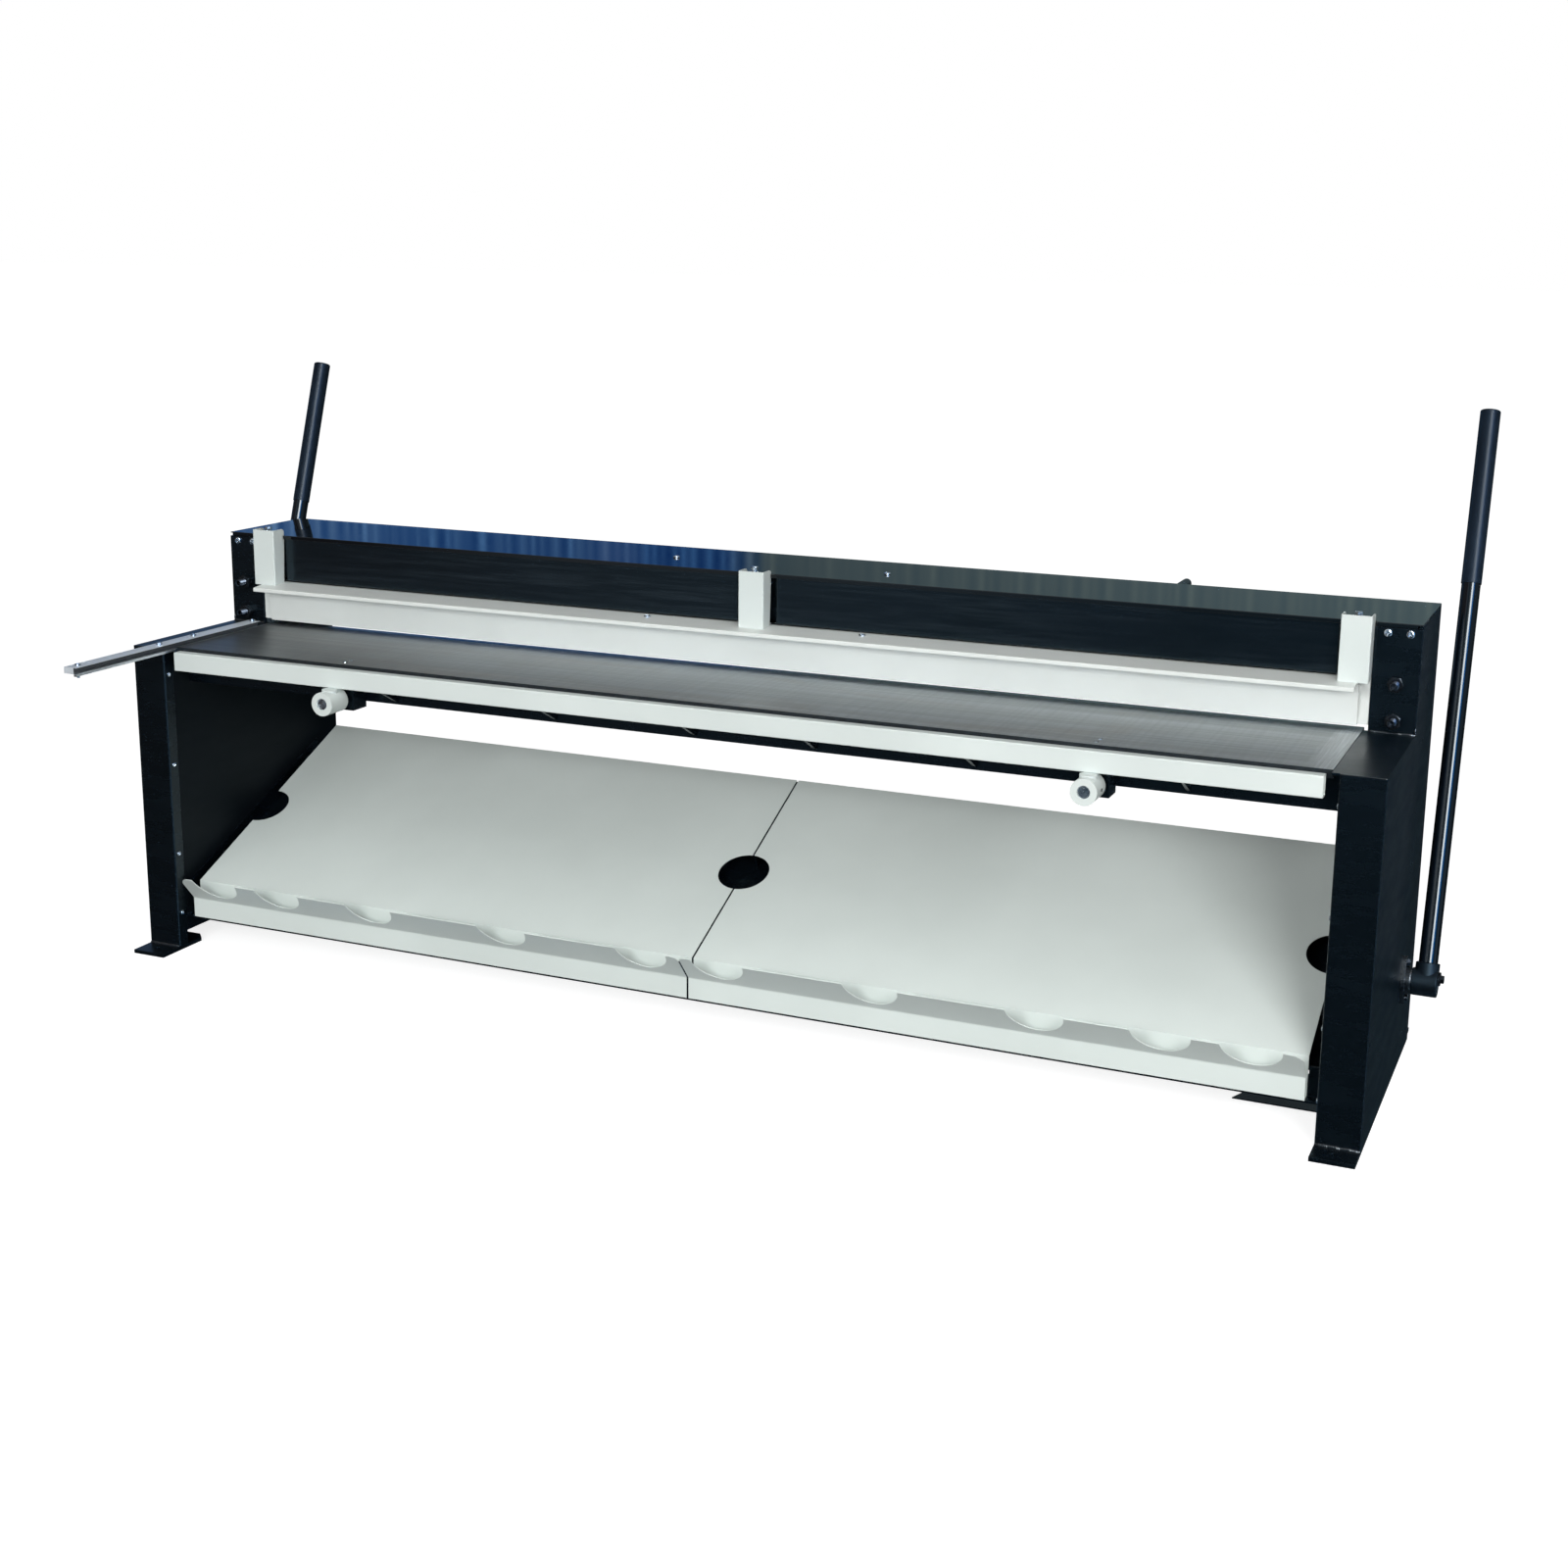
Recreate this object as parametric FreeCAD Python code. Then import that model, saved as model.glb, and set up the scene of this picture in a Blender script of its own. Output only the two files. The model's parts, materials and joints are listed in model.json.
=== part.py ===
import FreeCAD, Part
import math
import os

# Guillotine shear for sheet metal, worked by two long side levers.
# Millimetres. X runs along the blade, Y from the operator's side to the
# rear, Z up. While the pieces are drawn, Y = 0 is the front face of the
# legs; every piece is then moved by Y_SHIFT so that the origin is the
# centre of the whole machine's footprint on the floor.

V = FreeCAD.Vector

# ---------------------------------------------------------------- sizes
HALF_W = 1650.0            # outer faces of the side frames
LEG_IN = 1550.0            # inner face of the leg flanges and panels
TABLE_Z = 852.0            # work height, top of table and side frames
UPRIGHT_Y = 430.0          # front face of the uprights
REAR_Y = 760.0             # rear face of the side frames
TOP_Z = 1108.0             # top of the cover
FOOT_T = 10.0
PANEL_T = 4.0

LEVER_X = 1706.0           # centre plane of the levers
HUB_Y, HUB_Z = 538.0, 232.0
SHAFT_R = 25.0
LEVER_TILT = math.radians(18.34)   # back from vertical at rest
LEVER_TOP = 1391.0         # hub centre to the top of the grip
GRIP_START = 964.0
TUBE_R, TUBE_RI, GRIP_R = 22.25, 18.0, 24.0
CRANK_R = 67.0
CRANK_ANG = math.radians(150.0)    # crank pin position at rest, from +Y to +Z
PIN_Y = HUB_Y + CRANK_R * math.cos(CRANK_ANG)
PIN_Z = HUB_Z + CRANK_R * math.sin(CRANK_ANG)
EYE_Y, EYE_Z = 500.0, 945.0        # link's upper eye

BEAM_Z0, BEAM_Z1 = 890.0, 1085.0   # moving blade beam
SHOE_IN, SHOE_OUT = 1550.0, 1639.0

HD_FRONT = 434.0           # front face of the hold-down bar
HD_BOTTOM = 866.7

CHUTE_X = 1518.0
CH_LOW = (59.8, 190.9)     # lower end of the sloping plate, top surface
CH_UP = (715.0, 493.7)     # upper end
CH_FOLD = (33.0, 150.2)    # fold between apron and lip, rear surface
CH_TIP = (-25.0, 219.8)    # edge of the lip
CH_T = 2.0
NOTCH_R = 70.5
NOTCH_X = (104.0, 504.0, 908.0, 1200.5, 1404.5)

RAIL_SUP_X = 1009.0
RAIL_SUP_Z = 760.0

Y_MIN = -350.0             # end of the squaring arm
Y_MAX = HUB_Y + LEVER_TOP * math.sin(LEVER_TILT) + GRIP_R * math.cos(LEVER_TILT)
Y_SHIFT = -(Y_MIN + Y_MAX) / 2.0

# ------------------------------------------------------------- helpers


def box(x0, x1, y0, y1, z0, z1):
    return Part.makeBox(x1 - x0, y1 - y0, z1 - z0, V(x0, y0, z0))


def cyl(p, d, r, h):
    return Part.makeCylinder(r, h, V(*p), V(*d))


def face(pts):
    return Part.Face(Part.makePolygon([V(*p) for p in pts] + [V(*pts[0])]))


def prism_yz(pts, x0, x1):
    return face([(x0, y, z) for y, z in pts]).extrude(V(x1 - x0, 0, 0))


def prism_xy(pts, z0, z1):
    return face([(x, y, z0) for x, y in pts]).extrude(V(0, 0, z1 - z0))


def prism_xz(pts, y0, y1):
    return face([(x, y0, z) for x, z in pts]).extrude(V(0, y1 - y0, 0))


def hexa(p, d, af, h, turn=0.0):
    """Hexagonal prism, across flats af, from p along d."""
    d = V(*d)
    d.normalize()
    a = V(0, 0, 1) if abs(d.z) < 0.9 else V(1, 0, 0)
    u = a.cross(d)
    u.normalize()
    w = d.cross(u)
    r = af / math.sqrt(3.0)
    p = V(*p)
    pts = []
    for i in range(6):
        t = math.radians(60.0 * i + 30.0 + turn)
        pts.append(p + u * (r * math.cos(t)) + w * (r * math.sin(t)))
    return Part.Face(Part.makePolygon(pts + [pts[0]])).extrude(d * h)


def fuse(*s):
    r = s[0]
    for t in s[1:]:
        r = r.fuse(t)
    return r.removeSplitter()


def cut(s, *tools):
    for t in tools:
        s = s.cut(t)
    return s


def mir(s):
    return s.mirror(V(0, 0, 0), V(1, 0, 0))


def hull_x(x0, x1, c0, r0, c1, r1):
    """Plate across X whose outline wraps two circles in the YZ plane."""
    a = V(x0, c0[0], c0[1])
    b = V(x0, c1[0], c1[1])
    d = b - a
    length = d.Length
    e = V(d)
    e.normalize()
    n = V(1, 0, 0).cross(e)
    t = math.acos((r0 - r1) / length)

    def at(c, r, ang):
        return c + e * (r * math.cos(ang)) + n * (r * math.sin(ang))

    edges = [
        Part.Arc(at(a, r0, t), at(a, r0, math.pi), at(a, r0, -t)).toShape(),
        Part.makeLine(at(a, r0, -t), at(b, r1, -t)),
        Part.Arc(at(b, r1, -t), at(b, r1, 0.0), at(b, r1, t)).toShape(),
        Part.makeLine(at(b, r1, t), at(a, r0, t)),
    ]
    return Part.Face(Part.Wire(edges)).extrude(V(x1 - x0, 0, 0))


def bent_sheet(path, t, x0, x1, side=1.0):
    """Folded sheet: path is one surface, the other lies t to its side."""
    n = len(path)
    dirs = []
    for i in range(n - 1):
        dy, dz = path[i + 1][0] - path[i][0], path[i + 1][1] - path[i][1]
        m = math.hypot(dy, dz)
        dirs.append((dy / m, dz / m))
    nor = [(-d[1] * side, d[0] * side) for d in dirs]
    off = []
    for i in range(n):
        if i == 0:
            k = nor[0]
            s = 1.0
        elif i == n - 1:
            k = nor[-1]
            s = 1.0
        else:
            k = (nor[i - 1][0] + nor[i][0], nor[i - 1][1] + nor[i][1])
            m = math.hypot(*k)
            k = (k[0] / m, k[1] / m)
            s = 1.0 / (k[0] * nor[i][0] + k[1] * nor[i][1])
        off.append((path[i][0] + k[0] * t * s, path[i][1] + k[1] * t * s))
    return prism_yz(list(path) + off[::-1], x0, x1)


def tube_x(y0, y1, z0, z1, t, x0, x1):
    return box(x0, x1, y0, y1, z0, z1).cut(
        box(x0 - 1, x1 + 1, y0 + t, y1 - t, z0 + t, z1 - t))


def fillet_where(s, r, test):
    e = [k for k in s.Edges if test(k)]
    return s.makeFillet(r, e) if e else s


os.makedirs("parts", exist_ok=True)
NAMES = []


def out(name, *shapes):
    solids = []
    for s in shapes:
        solids.extend(s.Solids)
    for s in solids:
        if not s.isValid() or s.Volume <= 0:
            print("CHECK", name, "valid", s.isValid(), "volume", s.Volume)
    c = solids[0].copy() if len(solids) == 1 else Part.makeCompound([s.copy() for s in solids])
    c.translate(V(0, Y_SHIFT, 0))
    c.exportStep("parts/%s.step" % name)
    NAMES.append(name)


# ------------------------------------------------------ fixed side frames
ARM_Z0, ARM_Z1 = TABLE_Z - 5, TABLE_Z + 12    # squaring arm, let into the flange
ARM_X = 1572.5


def side_panel(left):
    s = prism_yz([(5, 0), (REAR_Y, 0), (REAR_Y, 1105), (440, 1105),
                  (440, TABLE_Z), (5, TABLE_Z)], HALF_W - PANEL_T, HALF_W)
    if left:
        # the inner part of the top flange is let down for the squaring arm and
        # steps back under the arm's strip at its front end
        top = fuse(box(ARM_X, HALF_W - PANEL_T, 5, 440, ARM_Z0, TABLE_Z),
                   prism_xy([(LEG_IN, 5), (ARM_X + 4, 5), (ARM_X + 4, 440),
                             (1533, 440), (1533, 34), (LEG_IN, 34)], ARM_Z0 - 5, ARM_Z0),
                   box(1533, ARM_X + 4, 394, 440, ARM_Z0 - 5, TABLE_Z))
    else:
        top = box(1533, HALF_W - PANEL_T, 5, 440, TABLE_Z - 5, TABLE_Z)
    rear = box(LEG_IN, HALF_W - PANEL_T, REAR_Y - 3, REAR_Y, FOOT_T, 1105)
    s = fuse(s, top, rear)
    s = cut(s, cyl((1600, HUB_Y, HUB_Z), (1, 0, 0), 27, 100))
    for dz in (-44, 44):
        s = cut(s, cyl((1600, HUB_Y, HUB_Z + dz), (1, 0, 0), 5.05, 100))
    return s


ARM_SCREW_Y = (-322.0, -12.0, 128.0, 384.0)
panel_l = mir(side_panel(True))
for y in ARM_SCREW_Y[1:]:
    panel_l = panel_l.cut(cyl((-1552, y, 830), (0, 0, 1), 4.05, 40))
out("outer_panel_right", side_panel(False))
out("outer_panel_left", panel_l)

SIDE_SCREW_Z = (778.0, 527.0, 275.0, 106.0)
leg = fuse(box(LEG_IN, HALF_W, 0, 5, FOOT_T, TABLE_Z),
           box(LEG_IN, LEG_IN + 5, 5, 35, FOOT_T, TABLE_Z - 5))
for z in SIDE_SCREW_Z:
    leg = leg.cut(cyl((LEG_IN - 1, 17, z), (1, 0, 0), 3.05, 10))
for x, r in ((LEG_IN, 4.5), (HALF_W, 2.0)):
    leg = fillet_where(leg, r, lambda e: abs(e.BoundBox.XMax - x) < 1e-6
                       and abs(e.BoundBox.YMax) < 1e-6 and e.BoundBox.ZLength > 500)
out("leg_right", leg)
out("leg_left", mir(leg.cut(box(LEG_IN - 1, ARM_X, -1, 6, ARM_Z0, TABLE_Z + 1))
                    .cut(box(LEG_IN - 1, LEG_IN + 6, 4.9, 36, ARM_Z0 - 5, TABLE_Z))))

inner = box(LEG_IN, LEG_IN + 3, 35, REAR_Y - 3, 60, TABLE_Z - 5)
inner = cut(inner, box(LEG_IN - 1, LEG_IN + 4, 440, 562, 800, 860),
            cyl((LEG_IN - 1, HUB_Y, HUB_Z), (1, 0, 0), 27, 6))
out("inner_panel_right", inner)
out("inner_panel_left", mir(inner.cut(box(LEG_IN - 1, LEG_IN + 4, 34, 441, ARM_Z0 - 5, TABLE_Z))))

SET_Z = (969.0, 883.0)
SET_X = 1599.0
PAN_UP = ((1573.0, 1085.0), (1623.0, 1085.0))
up = fuse(box(1543.5, HALF_W, UPRIGHT_Y, 440, TABLE_Z, 1097),
          box(1640, 1646, 440, 546.05, TABLE_Z, 1105),
          box(1550, 1646, 546.05, 558, TABLE_Z, 1105))
for z in SET_Z:
    up = up.cut(cyl((SET_X, 429, z), (0, 1, 0), 10.05, 12))
for x, z in PAN_UP:
    up = up.cut(cyl((x, 429, z), (0, 1, 0), 4.05, 12))
out("upright_right", up)
out("upright_left", mir(up))

# foot plates, front and rear, each with one anchor hole
HOLE_X, HOLE_YF, HOLE_YR, HOLE_R = 1597.0, -36.0, 796.0, 6.5
ff = prism_xy([(1550, -70), (1650, -70), (1650, 5), (1646, 5), (1646, 115), (1574, 115), (1550, 91)], 0, FOOT_T)
ff = ff.cut(cyl((HOLE_X, HOLE_YF, -1), (0, 0, 1), HOLE_R, 12))
fr = prism_xy([(1574, 645), (1646, 645), (1646, 818), (1550, 818), (1550, 669)], 0, FOOT_T)
fr = fr.cut(cyl((HOLE_X, HOLE_YR, -1), (0, 0, 1), HOLE_R, 12))
out("foot_plates", ff, fr, mir(ff), mir(fr))
out("floor_plate", prism_xy([(1327, 202), (1646, 202), (1646, 420), (1350, 420), (1350, 258)],
                            0, 3))

# ------------------------------------------------------------- table
TSCREW = [(sx * 1006.0, 57.0) for sx in (-1, 1)] + [(sx * 1008.0, 87.0) for sx in (-1, 1)]
table = box(-1531.5, 1531.5, 32, 448, TABLE_Z - 20, TABLE_Z)
for x, y in TSCREW:
    table = cut(table, cyl((x, y, TABLE_Z - 5), (0, 0, 1), 7.0, 6),
                cyl((x, y, TABLE_Z - 21), (0, 0, 1), 4.05, 22))
table = fillet_where(table, 1.5, lambda e: abs(e.BoundBox.YMax - 32) < 1e-6
                     and abs(e.BoundBox.ZMin - TABLE_Z) < 1e-6 and e.BoundBox.XLength > 3000)
out("table_plate", table)

tb = tube_x(100, 150, 744, TABLE_Z - 20, 5, -LEG_IN, LEG_IN)
for sx in (-1, 1):
    tb = tb.cut(box(sx * RAIL_SUP_X - 17, sx * RAIL_SUP_X + 17, 95, 155, 740, 777))
out("table_beam", tb)

RIB_X = (-880.0, -405.0, -14.0, 307.0, 710.0, 1210.0)
out("table_ribs", *[prism_yz([(34, TABLE_Z - 20), (100, TABLE_Z - 20), (100, 750), (34, 786)],
                             x - 4, x + 4) for x in RIB_X])

BL_X = [-1450.0 + 290.0 * i for i in range(11)]
seat = box(-LEG_IN, LEG_IN, 408, 448, 700, TABLE_Z - 20)
blade_lo = box(-1530, 1530, 448, 472, 790, TABLE_Z)
for x in BL_X:
    seat = seat.cut(cyl((x, 420, 812), (0, 1, 0), 5.05, 30))
    blade_lo = cut(blade_lo, cyl((x, 440, 812), (0, 1, 0), 5.05, 40),
                   cyl((x, 463, 812), (0, 1, 0), 8.5, 10))
out("blade_seat_beam", seat)
out("lower_blade", blade_lo)


def cap_screw(p, d, r, head_r, head_h, shank, sock):
    """Socket head screw: head starts at p and the shank runs on along d."""
    d = V(*d)
    p = V(*p)
    s = fuse(Part.makeCylinder(head_r, head_h, p, d),
             Part.makeCylinder(r, shank, p + d * head_h, d))
    return s.cut(hexa((p.x, p.y, p.z), (d.x, d.y, d.z), sock, head_h * 0.6))


out("lower_blade_screws", *[cap_screw((x, 471.5, 812), (0, -1, 0), 5.0, 8.0, 8.5, 41.0, 8.0)
                            for x in BL_X])

# squaring arm on the left side frame, with a slot along its inner face
arm = box(-1572, -1532, Y_MIN, 392, ARM_Z0, ARM_Z1)
arm = arm.cut(box(-1541, -1531, Y_MIN - 1, 393, ARM_Z0 + 4, ARM_Z0 + 14.5))
for y in ARM_SCREW_Y:
    arm = arm.cut(cyl((-1552, y, ARM_Z0 - 1), (0, 0, 1), 4.05, 20))
arm = arm.cut(cyl((-1552, 108, ARM_Z0 - 1), (0, 0, 1), 3.5, 20))
out("squaring_arm", arm)
out("arm_edge_strip", box(-1541, -1533, Y_MIN, 31.5, ARM_Z0 - 6, ARM_Z0))
scr = []
for i, y in enumerate(ARM_SCREW_Y):
    head = hexa((-1552, y, ARM_Z1), (0, 0, 1), 14, 7) if i in (1,) else \
        cyl((-1552, y, ARM_Z1), (0, 0, 1), 7.5, 5)
    low = 14.0 if i == 0 else 5.0
    s = fuse(head, cyl((-1552, y, ARM_Z0 - low), (0, 0, 1), 4.0, ARM_Z1 - ARM_Z0 + low))
    if i == 0:
        s = fuse(s, hexa((-1552, y, ARM_Z0 - 7), (0, 0, 1), 13, 7))
    scr.append(s)
out("arm_screws", *scr)

# guide blocks for the sheet support rods
gb = []
for sx in (-1, 1):
    b = box(sx * RAIL_SUP_X - 35, sx * RAIL_SUP_X + 35, 42, 100, 729, TABLE_Z - 20)
    b = b.cut(cyl((sx * RAIL_SUP_X, 40, RAIL_SUP_Z), (0, 1, 0), 15.05, 65))
    for x, y in TSCREW:
        if x * sx > 0:
            b = b.cut(cyl((x, y, 800), (0, 0, 1), 4.05, 40))
    gb.append(b)
out("rail_guide_blocks", *gb)

# ------------------------------------------------------------- top
COVER_SCREW = ((-297.0, 569.0), (309.0, 558.0))
SPRING_X = (-1506.0, 2.5, 1507.5)  # brackets of the hold-down
ROD_X, ROD_Z, ROD_R = 1008.0, 1091.5, 12.5
cover = fuse(box(-HALF_W, HALF_W, 431, REAR_Y, 1105, TOP_Z),
             box(-1637, 1637, 431, 434, 1098, 1105),      # front fold, relieved at the corners
             box(-1542.5, 1542.5, REAR_Y - 3, REAR_Y, 1060, 1105))
cover = fillet_where(cover, 2.0, lambda e: abs(e.BoundBox.ZMin - TOP_Z) < 1e-6
                     and abs(e.BoundBox.ZMax - TOP_Z) < 1e-6)
for x in SPRING_X:                 # room for the brackets
    cover = cover.cut(box(x - 37.5, x + 37.5, 430, 441, 1090, 1110))
for x, y in COVER_SCREW:
    cover = cover.cut(cyl((x, y, 1100), (0, 0, 1), 4.05, 12))
out("top_cover", cover)

fp = box(54, 1464, 435, 455, 979, 1105)
fp = fillet_where(fp, 3.0, lambda e: e.BoundBox.YMax < 435.01)
fp = fp.cut(box(57, 1461, 438, 456, 982, 1102))
out("front_panel_right", fp)
out("front_panel_left", mir(fp))

tbm = fuse(box(-LEG_IN, LEG_IN, 455, 470, 985, 1105),
           box(1480, 1549, 440, 455, 985, 1097), box(-1549, -1480, 440, 455, 985, 1097),
           *[box(x - 22, x + 22, 398, 456, 1040, 1046) for x in SPRING_X])
for x in SPRING_X:
    tbm = tbm.cut(cyl((x, 415, 1030), (0, 0, 1), 7.0, 30))
out("top_beam", tbm)

out("rear_tie_tube", tube_x(690, 750, 80, 140, 4, -LEG_IN, LEG_IN))
tie_end = box(1519.5, LEG_IN, 57, 72, 89, 163.5).cut(box(1500, 1600, 56, 64.5, 94.6, 170))
tie = box(-LEG_IN, LEG_IN, 35, 57, 89, 94.6)
out("front_tie_bar", fuse(tie, tie_end, mir(tie_end)))

rod_plate = box(ROD_X - 25, ROD_X + 25, REAR_Y, REAR_Y + 6, 1062, 1104)
rod_plate = fillet_where(rod_plate, 3.0, lambda e: e.BoundBox.YLength > 5.9)
rod = fuse(cyl((ROD_X, REAR_Y, ROD_Z), (0, 1, 0), ROD_R, 119), rod_plate)
rod = fillet_where(rod, 5.0, lambda e: e.BoundBox.YMin > REAR_Y + 118)
out("rear_rod", rod)


# pan head screws of the frame: uprights, cover and table
def pan(p, d, r, head_r, head_h, shank):
    """Pan head screw, underside of the head at p, head towards d."""
    d = V(*d)
    p = V(*p)
    h = Part.makeCylinder(head_r, head_h, p, d)
    h = fillet_where(h, head_h * 0.55, lambda e: (e.BoundBox.Center - p).dot(d) > head_h * 0.9
                     and len(e.Vertexes) == 1)
    return fuse(h, Part.makeCylinder(r, shank, p, d * -1.0))


scr = []
for x, z in PAN_UP:
    a = pan((x, UPRIGHT_Y, z), (0, -1, 0), 4.0, 9.0, 7.5, 16)
    scr += [a, mir(a)]
for x, y in COVER_SCREW:
    scr.append(pan((x, y, TOP_Z), (0, 0, 1), 4.0, 8.5, 6.0, 7))
for x, y in TSCREW:
    scr.append(fuse(cyl((x, y, TABLE_Z - 5), (0, 0, 1), 6.9, 4.6),
                    cyl((x, y, TABLE_Z - 40), (0, 0, 1), 4.0, 36)))
out("pan_screws", *scr)

scr = []
for z in SIDE_SCREW_Z:
    a = pan((LEG_IN, 17, z), (-1, 0, 0), 3.0, 6.0, 3.5, 10)
    a = fuse(a, hexa((LEG_IN + 5, 17, z), (1, 0, 0), 10, 4))
    scr += [a, mir(a)]
out("side_screws", *scr)

nuts, sets, gibs = [], [], []
for z in SET_Z:
    n = hexa((SET_X, 412, z), (0, 1, 0), 34, 18)
    n = n.common(cyl((SET_X, 411, z), (0, 1, 0), 18.8, 20))
    n = n.cut(cyl((SET_X, 400, z), (0, 1, 0), 10.05, 40))
    nuts += [n, mir(n)]
    s = cyl((SET_X, 389, z), (0, 1, 0), 10.0, 52)
    s = s.makeChamfer(1.5, [e for e in s.Edges if e.BoundBox.YMax < 389.01])
    s = s.cut(hexa((SET_X, 388, z), (0, 1, 0), 10, 10))
    sets += [s, mir(s)]
gib = box(1552, 1638, 441, 449.95, 860, 1070)
out("gib_lock_nuts", *nuts)
out("gib_set_screws", *sets)
out("gib_strips", gib, mir(gib))

# ------------------------------------------------------ flange bearings
fb = fuse(hull_x(HALF_W, HALF_W + 10, (HUB_Y, HUB_Z), 37.5, (HUB_Y, HUB_Z + 44), 16),
          hull_x(HALF_W, HALF_W + 10, (HUB_Y, HUB_Z), 37.5, (HUB_Y, HUB_Z - 44), 16),
          cyl((HALF_W, HUB_Y, HUB_Z), (1, 0, 0), 34.5, 20))
fb = fb.cut(cyl((HALF_W - 1, HUB_Y, HUB_Z), (1, 0, 0), SHAFT_R + 0.05, 30))
for dz in (-44, 44):
    fb = fb.cut(cyl((HALF_W - 1, HUB_Y, HUB_Z + dz), (1, 0, 0), 5.05, 30))
out("flange_bearings", fb, mir(fb))
scr = []
for dz in (-44, 44):
    b = fuse(hexa((HALF_W + 10, HUB_Y, HUB_Z + dz), (1, 0, 0), 16, 7),
             cyl((HALF_W - 14, HUB_Y, HUB_Z + dz), (1, 0, 0), 5.0, 24),
             hexa((HALF_W - PANEL_T - 8, HUB_Y, HUB_Z + dz), (1, 0, 0), 17, 8))
    scr += [b, mir(b)]
out("bearing_bolts", *scr)

# ------------------------------------------------- levers and torsion shaft
LD = (0.0, math.sin(LEVER_TILT), math.cos(LEVER_TILT))
END_Y, END_Z = HUB_Y + LD[1] * 12.0, HUB_Z + LD[2] * 12.0
shaft = cyl((-1732, HUB_Y, HUB_Z), (1, 0, 0), SHAFT_R, 3464)
for sx in (-1, 1):
    # tapped off the axis, towards the lever, so that the end bolt also stops the hub turning
    shaft = shaft.cut(cyl((sx * 1692, END_Y, END_Z), (sx, 0, 0), 6.05, 41))
out("torsion_shaft", shaft)


def on_lever(s):
    return (LEVER_X, HUB_Y + LD[1] * s, HUB_Z + LD[2] * s)


tube = cyl(on_lever(36), LD, TUBE_R, LEVER_TOP - 40).cut(cyl(on_lever(37), LD, TUBE_RI, LEVER_TOP))
grip = cyl(on_lever(GRIP_START), LD, GRIP_R, LEVER_TOP - GRIP_START)
grip = fillet_where(grip, 4.0, lambda e: e.BoundBox.ZMin > on_lever(LEVER_TOP)[2] - 12)
grip = grip.cut(cyl(on_lever(GRIP_START - 1), LD, TUBE_R + 0.02, LEVER_TOP - 4 - GRIP_START + 1))
hub = cyl((1673, HUB_Y, HUB_Z), (1, 0, 0), 33, 60)
hub = hub.makeFillet(3.0, [e for e in hub.Edges if len(e.Vertexes) == 1])
collar = Part.makeCone(29.5, 28, 48, V(*on_lever(0)), V(*LD))
collar = collar.makeChamfer(2.0, [e for e in collar.Edges if len(e.Vertexes) == 1
                                  and e.BoundBox.ZMin > HUB_Z + 25])
hub = fuse(hub, collar).cut(box(1733, 1760, HUB_Y - 80, HUB_Y + 80, HUB_Z - 80, HUB_Z + 80))
hub = cut(hub, cyl((1670, HUB_Y, HUB_Z), (1, 0, 0), SHAFT_R + 0.05, 70),
          cyl(on_lever(36), LD, TUBE_R + 0.02, 60))
bolt = fuse(cyl((1733, END_Y, END_Z), (1, 0, 0), 16.5, 5),
            hexa((1738, END_Y, END_Z), (1, 0, 0), 19, 8),
            cyl((1694, END_Y, END_Z), (1, 0, 0), 6.0, 39))
crank = hull_x(1560, 1575, (HUB_Y, HUB_Z), 42, (PIN_Y, PIN_Z), 24)
crank = cut(crank, cyl((1550, HUB_Y, HUB_Z), (1, 0, 0), SHAFT_R + 0.05, 40),
            cyl((1550, PIN_Y, PIN_Z), (1, 0, 0), 12.02, 40))
cpin = fuse(cyl((1560, PIN_Y, PIN_Z), (1, 0, 0), 12.0, 36),
            cyl((1594, PIN_Y, PIN_Z), (1, 0, 0), 17.0, 5))
out("lever_tube_right", tube)
out("lever_tube_left", mir(tube))
out("lever_grips", grip, mir(grip))
out("lever_hubs", hub, mir(hub))
out("hub_bolts", bolt, mir(bolt))
out("cranks", crank, mir(crank))
out("crank_pins", cpin, mir(cpin))

link = hull_x(1577, 1592, (EYE_Y, EYE_Z), 30, (PIN_Y, PIN_Z), 26)
link = cut(link, cyl((1570, PIN_Y, PIN_Z), (1, 0, 0), 12.06, 30),
           cyl((1570, EYE_Y, EYE_Z), (1, 0, 0), 20.5, 30))
out("drive_links", link, mir(link))

# ------------------------------------------------------- moving blade beam
bb = tube_x(486, 545, BEAM_Z0, BEAM_Z1, 10, -SHOE_IN, SHOE_IN)
blade_up = prism_xz([(-1530, 866), (1530, 916), (1530, 975), (-1530, 975)], 472.3, 486)
scr = []
for x in BL_X:
    bb = bb.cut(cyl((x, 480, 955), (0, 1, 0), 5.05, 18))
    blade_up = cut(blade_up, cyl((x, 470, 955), (0, 1, 0), 5.05, 20),
                   cyl((x, 470, 955), (0, 1, 0), 8.5, 10.5))
    scr.append(cap_screw((x, 473.0, 955), (0, 1, 0), 5.0, 8.0, 7.5, 15.0, 6.0))
shoe = box(SHOE_IN, SHOE_OUT, 450, 546, BEAM_Z0, BEAM_Z1)
shoe = cut(shoe, box(1572.5, 1596.5, 449, 547, BEAM_Z0 - 1, 988),
           cyl((1540, EYE_Y, EYE_Z), (1, 0, 0), 10.02, 120))
lpin = cyl((1554, EYE_Y, EYE_Z), (1, 0, 0), 10.0, 82)
out("blade_beam", bb)
out("upper_blade", blade_up)
out("upper_blade_screws", *scr)
out("guide_shoes", shoe, mir(shoe))
out("link_pins", lpin, mir(lpin))

# -------------------------------------------------------------- hold-down
hb = box(-1542.5, 1542.5, HD_FRONT, HD_FRONT + 12, HD_BOTTOM, 975)
out("hold_down_bar", hb)
LIP_F, LIP_R = 967.0, 975.0        # lip plate's top surface at its front and rear edges
LIP_SCREW = ((-304.0, 411.0), (300.0, 411.0))


def lip_top(y):
    return LIP_F + (LIP_R - LIP_F) * (y - 351.0) / (HD_FRONT - 351.0)


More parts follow.
